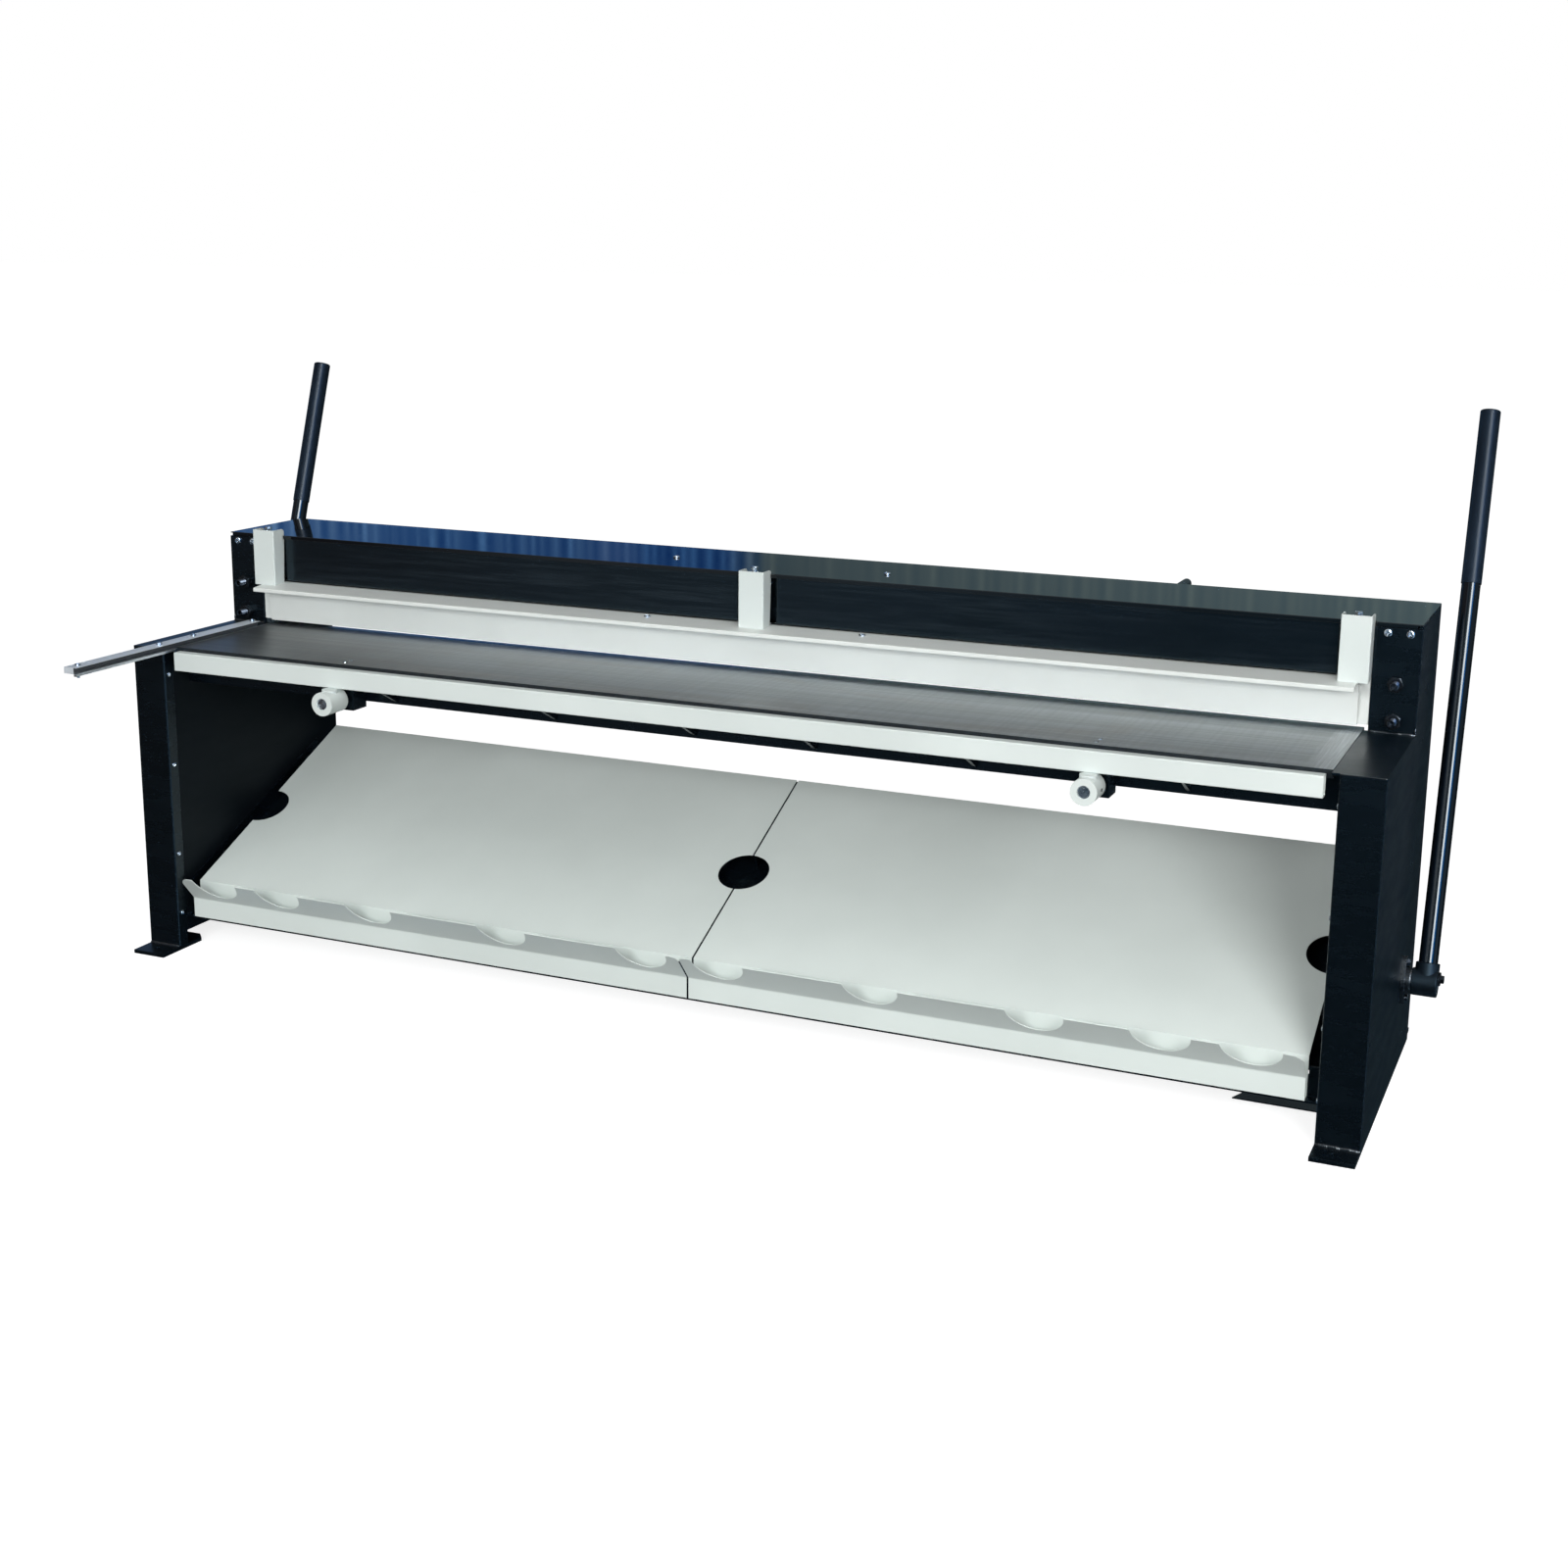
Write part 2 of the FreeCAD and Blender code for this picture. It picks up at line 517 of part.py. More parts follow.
lip = prism_yz([(351, 956), (351, LIP_F), (HD_FRONT, LIP_R), (HD_FRONT, LIP_R - 6), (357, LIP_F - 5.5), (357, 956)],
               -1517.7, 1517.7)
lip = fillet_where(lip, 2.4, lambda e: e.BoundBox.XLength > 3000 and e.BoundBox.YMax < 351.01)
lip = fuse(lip, prism_yz([(416.3, 968.8), (421.7, 968.8), (433.9, 863.7), (428.8, 863.7)], -1518, 1518))
LIP_N = V(0, LIP_F - LIP_R, HD_FRONT - 351.0)
LIP_N.normalize()
for x, y in LIP_SCREW:
    lip = lip.cut(Part.makeCylinder(3.05, 30.0, V(x, y, lip_top(y)) - LIP_N * 15.0, LIP_N))
out("lip_plate", lip)
below_lip = prism_yz([(380, 950), (450, 950), (450, lip_top(450)), (380, lip_top(380))], -1600, 1600)
BR_W, BR_TOP = 35.0, (1126.0, 1117.0, 1126.0)


def bracket(xc, top):
    s = prism_yz([(390, 960), (432, 960), (432, 980), (439, 1100), (439, top), (390, top)], xc - BR_W, xc + BR_W)
    s = fillet_where(s, 3.0, lambda e: e.BoundBox.YMax < 390.01 and e.BoundBox.ZLength > 100)
    s = fillet_where(s, 10.0, lambda e: e.BoundBox.YMin > 438.9 and e.BoundBox.ZMin > top - 0.1)
    return s.cut(box(xc - BR_W + 3, xc + BR_W - 3, 393, 441, 950, 1127)).cut(below_lip)


out("hold_down_brackets", *[bracket(x, t) for x, t in zip(SPRING_X, BR_TOP)])
BOLT_Z = (1125.0, 1119.5, 1123.0)  # underside of the bolt heads
sb = []
for x, z in zip(SPRING_X, BOLT_Z):
    sb.append(fuse(cyl((x, 415, 960), (0, 0, 1), 6.0, z - 955).cut(below_lip),
                   hexa((x, 415, z), (0, 0, 1), 17, 8),
                   cyl((x, 415, 1108), (0, 0, 1), 14, 2.5),
                   hexa((x, 415, 1110.5), (0, 0, 1), 17, 6)))
for x, y in LIP_SCREW:
    p = V(x, y, lip_top(y))
    sb.append(fuse(Part.makeCylinder(8.5, 4.8, p, LIP_N), Part.makeCylinder(3.0, 10.0, p - LIP_N * 9.0, LIP_N)))
out("spring_bolts", *sb)
SPRING_Z0, SPRING_Z1 = 1046.0, 1108.0


def coil(c, r, wire, z0, z1, turns):
    h = z1 - z0 - 2 * wire
    hx = Part.makeHelix(h / turns, h, r)
    ring = Part.Wire(Part.makeCircle(wire, V(r, 0, 0), V(0, 1, 0)))
    s = Part.Wire(hx.Edges).makePipeShell([ring], True, True)
    s.translate(V(c[0], c[1], z0 + wire))
    return s


out("hold_down_springs", *[coil((x, 415), 10.6, 1.6, SPRING_Z0, SPRING_Z1, 8) for x in SPRING_X])

# ------------------------------------------------- sliding sheet support
rail = box(-1517.5, 1517.5, 3, 31, 793, 843)
rail = fillet_where(rail, 2.5, lambda e: e.BoundBox.XLength > 3000)
rail = rail.cut(box(-1520, 1520, 6, 28, 796, 840))
out("front_rail", rail)
col, rods = [], []
for sx in (-1, 1):
    x = sx * RAIL_SUP_X
    c = fuse(cyl((x, -46.5, RAIL_SUP_Z), (0, 1, 0), 31, 71.5),
             cyl((x, -10, 765), (0, 0, 1), 20, 28),
             box(x - 14, x + 14, -10, 25, 770, 793))
    c = c.cut(cyl((x, -50, RAIL_SUP_Z), (0, 1, 0), 15.05, 80))
    col.append(c)
    r = cyl((x, -44, RAIL_SUP_Z), (0, 1, 0), 15.0, 404)
    rods.append(r.makeChamfer(1.5, [e for e in r.Edges if len(e.Vertexes) == 1]))
out("rail_collars", *col)
out("rail_rods", *rods)

# ------------------------------------------------------------ catch chute
SL = math.atan2(CH_UP[1] - CH_LOW[1], CH_UP[0] - CH_LOW[0])
cs, sn = math.cos(SL), math.sin(SL)
chute_len = math.hypot(CH_UP[0] - CH_LOW[0], CH_UP[1] - CH_LOW[1])


def slope(s):
    return (CH_LOW[0] + cs * s, CH_LOW[1] + sn * s)


lip_len = math.hypot(CH_TIP[0] - CH_FOLD[0], CH_TIP[1] - CH_FOLD[1])
ly, lz = (CH_TIP[0] - CH_FOLD[0]) / lip_len, (CH_TIP[1] - CH_FOLD[1]) / lip_len


def lip_pt(x, s):
    return (x, CH_FOLD[0] + ly * s, CH_FOLD[1] + lz * s)


def lip_cyl(x, s, r):
    """Cutter through the lip, square to it."""
    n = (0.0, -lz, ly)
    p = lip_pt(x, s)
    return cyl((p[0], p[1] - n[1] * 12, p[2] - n[2] * 12), n, r, 24)


def lip_corner(x, sgn, r):
    """Rounds the lip's corner at x; sgn points off the sheet."""
    n = V(0.0, -lz, ly)
    a = V(*lip_pt(x - sgn * r, lip_len - r)) - n * 12
    u = V(sgn, 0, 0)
    w = V(0, ly, lz)
    pts = [a, a + u * (r + 5), a + u * (r + 5) + w * (r + 5), a + w * (r + 5)]
    sq = Part.Face(Part.makePolygon(pts + [pts[0]])).extrude(n * 24)
    return sq.cut(lip_cyl(x - sgn * r, lip_len - r, r))


SEAM = 2.5                         # half the gap between the two chute halves


def chute_half(seam_r):
    path = [CH_UP, CH_LOW, (CH_LOW[0], 97.0), (CH_FOLD[0], 97.0), CH_FOLD, CH_TIP]
    s = bent_sheet(path, CH_T, SEAM, CHUTE_X, side=1.0)
    # the bend under the lip is a round one
    for r, inner in ((7.0, True), (9.0, False)):
        s = fillet_where(s, r, lambda e: e.BoundBox.XLength > 1000 and 147 < e.BoundBox.ZMin < 153
                         and (abs(e.BoundBox.YMin - CH_FOLD[0]) < 0.01) == inner)
    hp = slope(333.0)
    n = (0.0, -sn, cs)
    for x, r in ((0.0, 68.0), (CHUTE_X, 68.0)):
        s = s.cut(cyl((x, hp[0] - n[1] * 15, hp[1] - n[2] * 15), n, r, 30))
    for x in NOTCH_X:
        s = s.cut(lip_cyl(x, lip_len + 1.0, NOTCH_R))
    s = s.cut(lip_corner(SEAM, -1, seam_r))
    s = s.cut(lip_corner(CHUTE_X, 1, 28.0))
    return s


out("chute_right", chute_half(12.0))
out("chute_left", mir(chute_half(20.0)))


def ledge(s0, s1, x0, x1, t=3.0, gap=0.3):
    k0, k1 = CH_T + gap, CH_T + gap + t
    a, b = slope(s0), slope(s1)
    return prism_yz([(a[0] + sn * k0, a[1] - cs * k0), (b[0] + sn * k0, b[1] - cs * k0),
                     (b[0] + sn * k1, b[1] - cs * k1), (a[0] + sn * k1, a[1] - cs * k1)], x0, x1)


def under(s, d, x):
    """Point under the sloping plate: s along it, d below its top surface."""
    a = slope(s)
    return V(x, a[0] + sn * d, a[1] - cs * d)


def strip(s0, s1, d0, d1, x0, x1):
    """Flat bar in the plane of the sloping plate, between depths d0 and d1."""
    pts = [under(s0, d0, x0), under(s1, d0, x0), under(s1, d1, x0), under(s0, d1, x0)]
    return Part.Face(Part.makePolygon(pts + [pts[0]])).extrude(V(x1 - x0, 0, 0))


CHAN_D, CHAN_T = 47.0, 3.0         # depth and thickness of the channels under the chute
CHAN_S0, CHAN_S1 = 22.0, 655.0
CHAN_SS = 4.0                      # the outer channels start lower down
D0 = CH_T + 0.3
side = fuse(strip(CHAN_SS, CHAN_S1, CHAN_D, CHAN_D + CHAN_T, 1395, LEG_IN),
            strip(CHAN_SS, CHAN_S1, D0, CHAN_D, 1395, 1395 + CHAN_T),
            strip(CHAN_SS, CHAN_S1, D0, CHAN_D, LEG_IN - CHAN_T, LEG_IN))
mid = fuse(strip(CHAN_S0, CHAN_S1, CHAN_D, CHAN_D + CHAN_T, -110, 110),
           strip(CHAN_S0, CHAN_S1, D0, CHAN_D, -110, -110 + CHAN_T),
           strip(CHAN_S0, CHAN_S1, D0, CHAN_D, 110 - CHAN_T, 110))
# cross bar that carries all three channels near the top, and a bar with a
# leg down to the front tie bar under the middle one
cross = strip(CHAN_S1 - 45, CHAN_S1 - 5, CHAN_D + CHAN_T, CHAN_D + CHAN_T + 6, -LEG_IN, LEG_IN)
q = under(CHAN_S0 + 20, CHAN_D + CHAN_T, 0)
leg_m = prism_yz([(57, 89), (q.y + 4, 89), (q.y + 4, q.z + 4 * sn / cs - 0.01), (q.y, q.z - 0.01), (q.y, 94.6), (57, 94.6)],
                 -60, 60)
# fin in the middle channel that fills the seam between the chute halves and
# runs on down the apron and up the lip; it is open round the hand hole
FIN = 2.2
fin = fuse(strip(CHAN_S0 + 8, CHAN_S1, 0.4, CHAN_D, -FIN, FIN),
           strip(CHAN_S1 - 20, chute_len - 6, 0.4, 14.0, -FIN, FIN))
hp = slope(333.0)
fin = fin.cut(cyl((0, hp[0] + sn * 60, hp[1] - cs * 60), (0.0, -sn, cs), 70.0, 80))
f_tip = lip_pt(0, lip_len - 18.0)
nose = bent_sheet([slope(60.0), CH_LOW, (CH_LOW[0], 97.0), (CH_FOLD[0], 97.0), CH_FOLD, (f_tip[1], f_tip[2])],
                  CH_T, -FIN, FIN, side=1.0)
for r, inner in ((7.0, True), (9.0, False)):
    nose = fillet_where(nose, r, lambda e: e.BoundBox.XLength > 4.0 and 147 < e.BoundBox.ZMin < 153
                        and (abs(e.BoundBox.YMin - CH_FOLD[0]) < 0.01) == inner)
seam_fin = fuse(mid, fin, nose, box(-FIN, FIN, 36, 56, 94.6, 96.0))
out("chute_supports", side, mir(side), seam_fin, cross, leg_m)

print(len(NAMES), "nodes; Y_SHIFT %.3f" % Y_SHIFT)
print("crank pin", round(PIN_Y + Y_SHIFT, 3), round(PIN_Z, 3), "hub", HUB_Y + Y_SHIFT, HUB_Z)
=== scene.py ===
import json
import math
import random

import bmesh
import bpy
from mathutils import Matrix, Vector


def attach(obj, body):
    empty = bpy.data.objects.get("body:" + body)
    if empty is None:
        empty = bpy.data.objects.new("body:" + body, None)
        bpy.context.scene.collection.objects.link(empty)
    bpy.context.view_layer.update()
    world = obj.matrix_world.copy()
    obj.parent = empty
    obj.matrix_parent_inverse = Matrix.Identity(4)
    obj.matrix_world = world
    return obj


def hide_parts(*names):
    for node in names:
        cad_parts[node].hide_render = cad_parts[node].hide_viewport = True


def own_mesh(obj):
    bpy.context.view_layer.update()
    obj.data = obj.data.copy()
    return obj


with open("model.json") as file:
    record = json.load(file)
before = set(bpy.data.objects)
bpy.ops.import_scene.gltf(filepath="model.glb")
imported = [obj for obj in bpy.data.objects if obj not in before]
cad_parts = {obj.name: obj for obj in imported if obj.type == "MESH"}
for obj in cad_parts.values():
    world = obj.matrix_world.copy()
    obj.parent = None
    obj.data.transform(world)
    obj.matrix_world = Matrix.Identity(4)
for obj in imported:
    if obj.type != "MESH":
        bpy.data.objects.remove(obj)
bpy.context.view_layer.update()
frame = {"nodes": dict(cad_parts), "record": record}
NODES = frame["nodes"]
rnd = random.Random(7)

# Model coordinates: metres, X along the blade, Y to the rear, Z up. YS moves a
# length that was measured from the front face of the legs into this frame.
YS = -0.324233
SC = bpy.context.scene


# ------------------------------------------------------------------ camera
def make_camera():
    yaw, pitch, roll = math.radians(23.27), math.radians(12.75), math.radians(0.61)
    f = Vector((-math.sin(yaw) * math.cos(pitch), math.cos(yaw) * math.cos(pitch), -math.sin(pitch)))
    r0 = Vector((math.cos(yaw), math.sin(yaw), 0.0))
    u0 = r0.cross(f)
    r = r0 * math.cos(roll) + u0 * math.sin(roll)
    u = -r0 * math.sin(roll) + u0 * math.cos(roll)
    cam = bpy.data.cameras.new("camera")
    cam.sensor_fit = "HORIZONTAL"
    cam.sensor_width = 36.0
    cam.lens = 2139.9 * 36.0 / 1600.0
    cam.shift_x = 0.5 - 810.8 / 1600.0
    cam.shift_y = 725.1 / 1600.0 - 0.5
    cam.clip_start, cam.clip_end = 0.1, 200.0
    o = bpy.data.objects.new("camera", cam)
    m = Matrix.Identity(4)
    for i in range(3):
        m[i][0], m[i][1], m[i][2] = r[i], u[i], -f[i]
    m[0][3], m[1][3], m[2][3] = 2.187, -4.399 + YS, 1.948
    o.matrix_world = m
    SC.collection.objects.link(o)
    SC.camera = o


make_camera()


# --------------------------------------------------------------- materials
class NT:
    """A small helper round one material's node tree."""

    def __init__(self, name):
        self.m = bpy.data.materials.new(name)
        self.m.use_nodes = True
        self.t = self.m.node_tree
        self.t.nodes.clear()
        self.out = self.t.nodes.new("ShaderNodeOutputMaterial")
        self.p = self.t.nodes.new("ShaderNodeBsdfPrincipled")
        self.t.links.new(self.p.outputs[0], self.out.inputs["Surface"])
        self.co = self.t.nodes.new("ShaderNodeTexCoord").outputs["Object"]

    def node(self, kind, **kw):
        n = self.t.nodes.new(kind)
        for k, v in kw.items():
            setattr(n, k, v)
        return n

    def set(self, node, key, v):
        if isinstance(v, bpy.types.NodeSocket):
            self.t.links.new(v, node.inputs[key])
        elif v is not None:
            node.inputs[key].default_value = v

    def scale(self, sx, sy, sz, loc=(0, 0, 0), rot=(0, 0, 0), co=None):
        n = self.node("ShaderNodeMapping")
        self.set(n, "Vector", co or self.co)
        n.inputs["Scale"].default_value = (sx, sy, sz)
        n.inputs["Location"].default_value = loc
        n.inputs["Rotation"].default_value = rot
        return n.outputs[0]

    def noise(self, co, scale, detail=2.0, rough=0.5, dist=0.0):
        n = self.node("ShaderNodeTexNoise")
        self.set(n, "Vector", co)
        self.set(n, "Scale", scale)
        self.set(n, "Detail", detail)
        self.set(n, "Roughness", rough)
        self.set(n, "Distortion", dist)
        return n.outputs["Fac"]

    def ramp(self, fac, stops):
        n = self.node("ShaderNodeValToRGB")
        self.set(n, "Fac", fac)
        e = n.color_ramp.elements
        while len(e) > 1:
            e.remove(e[-1])
        first = True
        for pos, c in stops:
            c = c if isinstance(c, (tuple, list)) else (c, c, c)
            if first:
                e[0].position = pos
                e[0].color = (*c[:3], 1)
                first = False
            else:
                k = e.new(pos)
                k.color = (*c[:3], 1)
        return n.outputs[0]

    def mix(self, fac, a, b, mode="MIX"):
        n = self.node("ShaderNodeMix", data_type="RGBA", blend_type=mode)
        self.set(n, 0, fac)
        self.set(n, 6, a if isinstance(a, bpy.types.NodeSocket) else (*a, 1))
        self.set(n, 7, b if isinstance(b, bpy.types.NodeSocket) else (*b, 1))
        return n.outputs[2]

    def math(self, op, a, b=None, c=None, clamp=False):
        n = self.node("ShaderNodeMath", operation=op, use_clamp=clamp)
        self.set(n, 0, a)
        if b is not None:
            self.set(n, 1, b)
        if c is not None:
            self.set(n, 2, c)
        return n.outputs[0]

    def maprange(self, v, a, b, c, d):
        n = self.node("ShaderNodeMapRange")
        self.set(n, "Value", v)
        for k, x in zip(("From Min", "From Max", "To Min", "To Max"), (a, b, c, d)):
            self.set(n, k, x)
        return n.outputs[0]

    def xyz(self, co=None):
        n = self.node("ShaderNodeSeparateXYZ")
        self.set(n, 0, co or self.co)
        return n.outputs

    def bump(self, height, strength, distance=0.001, normal=None):
        n = self.node("ShaderNodeBump")
        self.set(n, "Height", height)
        self.set(n, "Strength", strength)
        self.set(n, "Distance", distance)
        if normal is not None:
            self.set(n, "Normal", normal)
        return n.outputs[0]

    def bevel(self, r):
        n = self.node("ShaderNodeBevel", samples=4)
        self.set(n, "Radius", r)
        return n.outputs[0]


def srgb(r, g, b):
    def c(v):
        v /= 255.0
        return v / 12.92 if v <= 0.04045 else ((v + 0.055) / 1.055) ** 2.4
    return (c(r), c(g), c(b))


COOL = (0.62, 0.85, 1.0)           # tone of the black paint's shine


def powder(name, base, dark, light, rough, peel, peel_mm=1.3, spec=0.5, edge=0.0015, coat=0.0, tint=None,
           wipe=0.0, vary=1.0):
    """Powder coat: slight tone drift, fine orange peel, faint dust and rub marks."""
    n = NT(name)
    big = n.noise(n.co, 2.3, 3.0, 0.55)
    fine = n.noise(n.co, 420.0, 2.0, 0.6)
    col = n.ramp(big, [(0.32, dark), (0.5, base), (0.7, light)])
    col = n.mix(n.maprange(fine, 0.35, 0.7, 0.0, 0.16), col, light)
    if wipe:
        # thin film of dust with the marks of a wiping cloth, along the panel
        w1 = n.noise(n.scale(5.0, 5.0, 150.0), 1.0, 4.0, 0.6)
        w2 = n.noise(n.scale(1.6, 1.6, 7.0), 1.0, 3.0, 0.6)
        film = n.math("MULTIPLY", n.maprange(w1, 0.42, 0.75, 0.0, wipe), n.maprange(w2, 0.35, 0.65, 0.15, 1.0))
        col = n.mix(film, col, srgb(44, 52, 58))
    n.set(n.p, "Base Color", col)
    rub = n.noise(n.scale(6, 6, 22), 1.0, 5.0, 0.6)
    n.set(n.p, "Roughness", n.math("ADD", n.maprange(rub, 0.3, 0.75, rough - 0.05 * vary, rough + 0.07 * vary),
                                   n.maprange(fine, 0.3, 0.7, -0.015 * vary, 0.015 * vary)))
    n.set(n.p, "Specular IOR Level", spec)
    if tint:
        n.set(n.p, "Specular Tint", (*tint, 1.0))
    if coat:
        n.set(n.p, "Coat Weight", coat)
        n.set(n.p, "Coat Roughness", 0.12)
    pn = n.noise(n.co, 1000.0 / peel_mm, 1.0, 0.5)
    slow = n.noise(n.co, 14.0, 2.0, 0.5)
    nor = n.bump(pn, peel, 0.0004, n.bevel(edge))
    nor = n.bump(slow, peel * 0.5, 0.001, nor)
    n.set(n.p, "Normal", nor)
    return n.m


def brushed(name, base, dark, rough, streak=(3.0, 260.0, 260.0), strength=0.12, edge=0.0008,
            metallic=1.0, tint=None):
    """Ground or drawn metal, with grain along one axis."""
    n = NT(name)
    g1 = n.noise(n.scale(*streak), 1.0, 4.0, 0.65)
    g2 = n.noise(n.scale(streak[0] * 0.3, streak[1] * 0.12, streak[2] * 0.12), 1.0, 3.0, 0.6)
    col = n.ramp(g1, [(0.25, dark), (0.75, base)])
    col = n.mix(n.maprange(g2, 0.35, 0.7, 0.0, 0.45), col, dark if tint is None else tint)
    n.set(n.p, "Base Color", col)
    n.set(n.p, "Metallic", metallic)
    n.set(n.p, "Roughness", n.maprange(g2, 0.3, 0.75, rough - 0.06, rough + 0.1))
    n.set(n.p, "Normal", n.bump(g1, strength, 0.0003, n.bevel(edge)))
    return n.m


M = {}
M["black_paint"] = powder("black_paint", srgb(5, 9, 13), srgb(4, 7, 10), srgb(8, 12, 17), 0.27, 0.05,
                          spec=0.46, edge=0.0022, tint=COOL)
M["side_paint"] = powder("side_paint", srgb(4, 10, 15), srgb(4, 8, 12), srgb(6, 12, 17), 0.32, 0.004,
                         spec=0.38, edge=0.0022, tint=COOL)
M["panel_paint"] = powder("panel_paint", srgb(6, 10, 14), srgb(5, 8, 11), srgb(9, 14, 19), 0.20, 0.05,
                          spec=0.58, edge=0.002, tint=COOL, wipe=0.5)
M["cover_paint"] = powder("cover_paint", srgb(9, 14, 18), srgb(7, 10, 13), srgb(12, 18, 23), 0.055, 0.012, vary=0.3)
M["inner_paint"] = powder("inner_paint", srgb(6, 8, 10), srgb(4, 6, 8), srgb(9, 11, 13), 0.50, 0.05, spec=0.15, tint=COOL)
M["weld_paint"] = powder("weld_paint", srgb(12, 17, 22), srgb(8, 12, 16), srgb(22, 29, 35), 0.14, 0.1, edge=0.0003, spec=0.9)
M["hub_paint"] = powder("hub_paint", srgb(7, 11, 15), srgb(5, 8, 11), srgb(10, 15, 20), 0.48, 0.05, spec=0.3, edge=0.001, tint=COOL)
M["gloss_black_paint"] = powder("gloss_black_paint", srgb(9, 14, 20), srgb(6, 9, 13), srgb(14, 20, 27), 0.10,
                                0.03, edge=0.0006)
M["white_paint"] = powder("white_paint", srgb(209, 216, 213), srgb(204, 211, 208), srgb(214, 221, 218), 0.38,
                          0.10, edge=0.0012)
# Lighter copy of white_paint for the hold-down bar and lip plate: painted light, standing in for the light the table
# throws up onto them.
M["bar_paint_painted_bounce"] = powder("bar_paint_painted_bounce", srgb(216, 219, 215), srgb(209, 212, 208), srgb(218, 221, 217), 0.36,
                        0.10, edge=0.0012)
M["chute_paint"] = powder("chute_paint", srgb(214, 222, 218), srgb(210, 218, 214), srgb(219, 227, 223), 0.42,
                          0.08, edge=0.0008)
M["blade_steel"] = brushed("blade_steel", (0.56, 0.57, 0.58), (0.38, 0.38, 0.39), 0.28)
M["bright_steel"] = brushed("bright_steel", (0.62, 0.63, 0.65), (0.42, 0.43, 0.45), 0.25)
M["zinc_screws"] = brushed("zinc_screws", (0.80, 0.83, 0.86), (0.60, 0.63, 0.67), 0.24,
                           streak=(160, 160, 160), strength=0.05, edge=0.0004)
M["dark_zinc"] = brushed("dark_zinc", (0.22, 0.24, 0.27), (0.12, 0.13, 0.15), 0.28,
                         streak=(160, 160, 160), strength=0.05, edge=0.0004)
M["set_screw_steel"] = brushed("set_screw_steel", (0.10, 0.11, 0.13), (0.05, 0.055, 0.065), 0.24,
                               streak=(160, 160, 160), strength=0.05, edge=0.0003)
M["dull_zinc"] = brushed("dull_zinc", (0.46, 0.49, 0.52), (0.30, 0.32, 0.35), 0.36,
                         streak=(160, 160, 160), strength=0.05, edge=0.0004)
M["black_oxide_screws"] = brushed("black_oxide_screws", (0.022, 0.026, 0.032), (0.010, 0.012, 0.015), 0.22,
                                  streak=(140, 140, 140), strength=0.05, edge=0.0005, metallic=0.6)
M["aluminium"] = brushed("aluminium", (0.80, 0.81, 0.83), (0.62, 0.63, 0.66), 0.34, streak=(300, 3, 300),
                         strength=0.08, edge=0.0005)
M["brass"] = brushed("brass", (0.72, 0.54, 0.24), (0.55, 0.40, 0.17), 0.32)
M["spring_steel"] = brushed("spring_steel", (0.50, 0.51, 0.53), (0.30, 0.31, 0.33), 0.3, streak=(90, 90, 90),
                            strength=0.04, edge=0.0002)


def arm_material():
    """Extruded bar: fine lines along its length, a dark band over the groove on its inner side, scuffs."""
    n = NT("arm_aluminium")
    x, y, z = n.xyz()
    g = n.noise(n.scale(420, 2.5, 420), 1.0, 4.0, 0.6)
    scuff = n.noise(n.scale(30, 6, 30), 1.0, 5.0, 0.65)
    col = n.ramp(g, [(0.3, (0.68, 0.72, 0.76)), (0.7, (0.78, 0.82, 0.86))])
    col = n.mix(n.maprange(scuff, 0.52, 0.75, 0.0, 0.16), col, (0.50, 0.53, 0.57))
    groove = n.math("MULTIPLY", n.math("GREATER_THAN", x, -1.5412),
                    n.math("MULTIPLY", n.math("GREATER_THAN", z, 0.8478), n.math("LESS_THAN", z, 0.8630)))
    n.set(n.p, "Base Color", n.mix(groove, col, (0.060, 0.066, 0.072)))
    n.set(n.p, "Metallic", n.math("SUBTRACT", 0.4, n.math("MULTIPLY", groove, 0.3)))
    n.set(n.p, "Roughness", n.math("ADD", n.maprange(scuff, 0.3, 0.75, 0.34, 0.50), n.math("MULTIPLY", groove, 0.1)))
    n.set(n.p, "Normal", n.bump(g, 0.10, 0.0002, n.bevel(0.0005)))
    return n.m


M["arm_aluminium"] = arm_material()


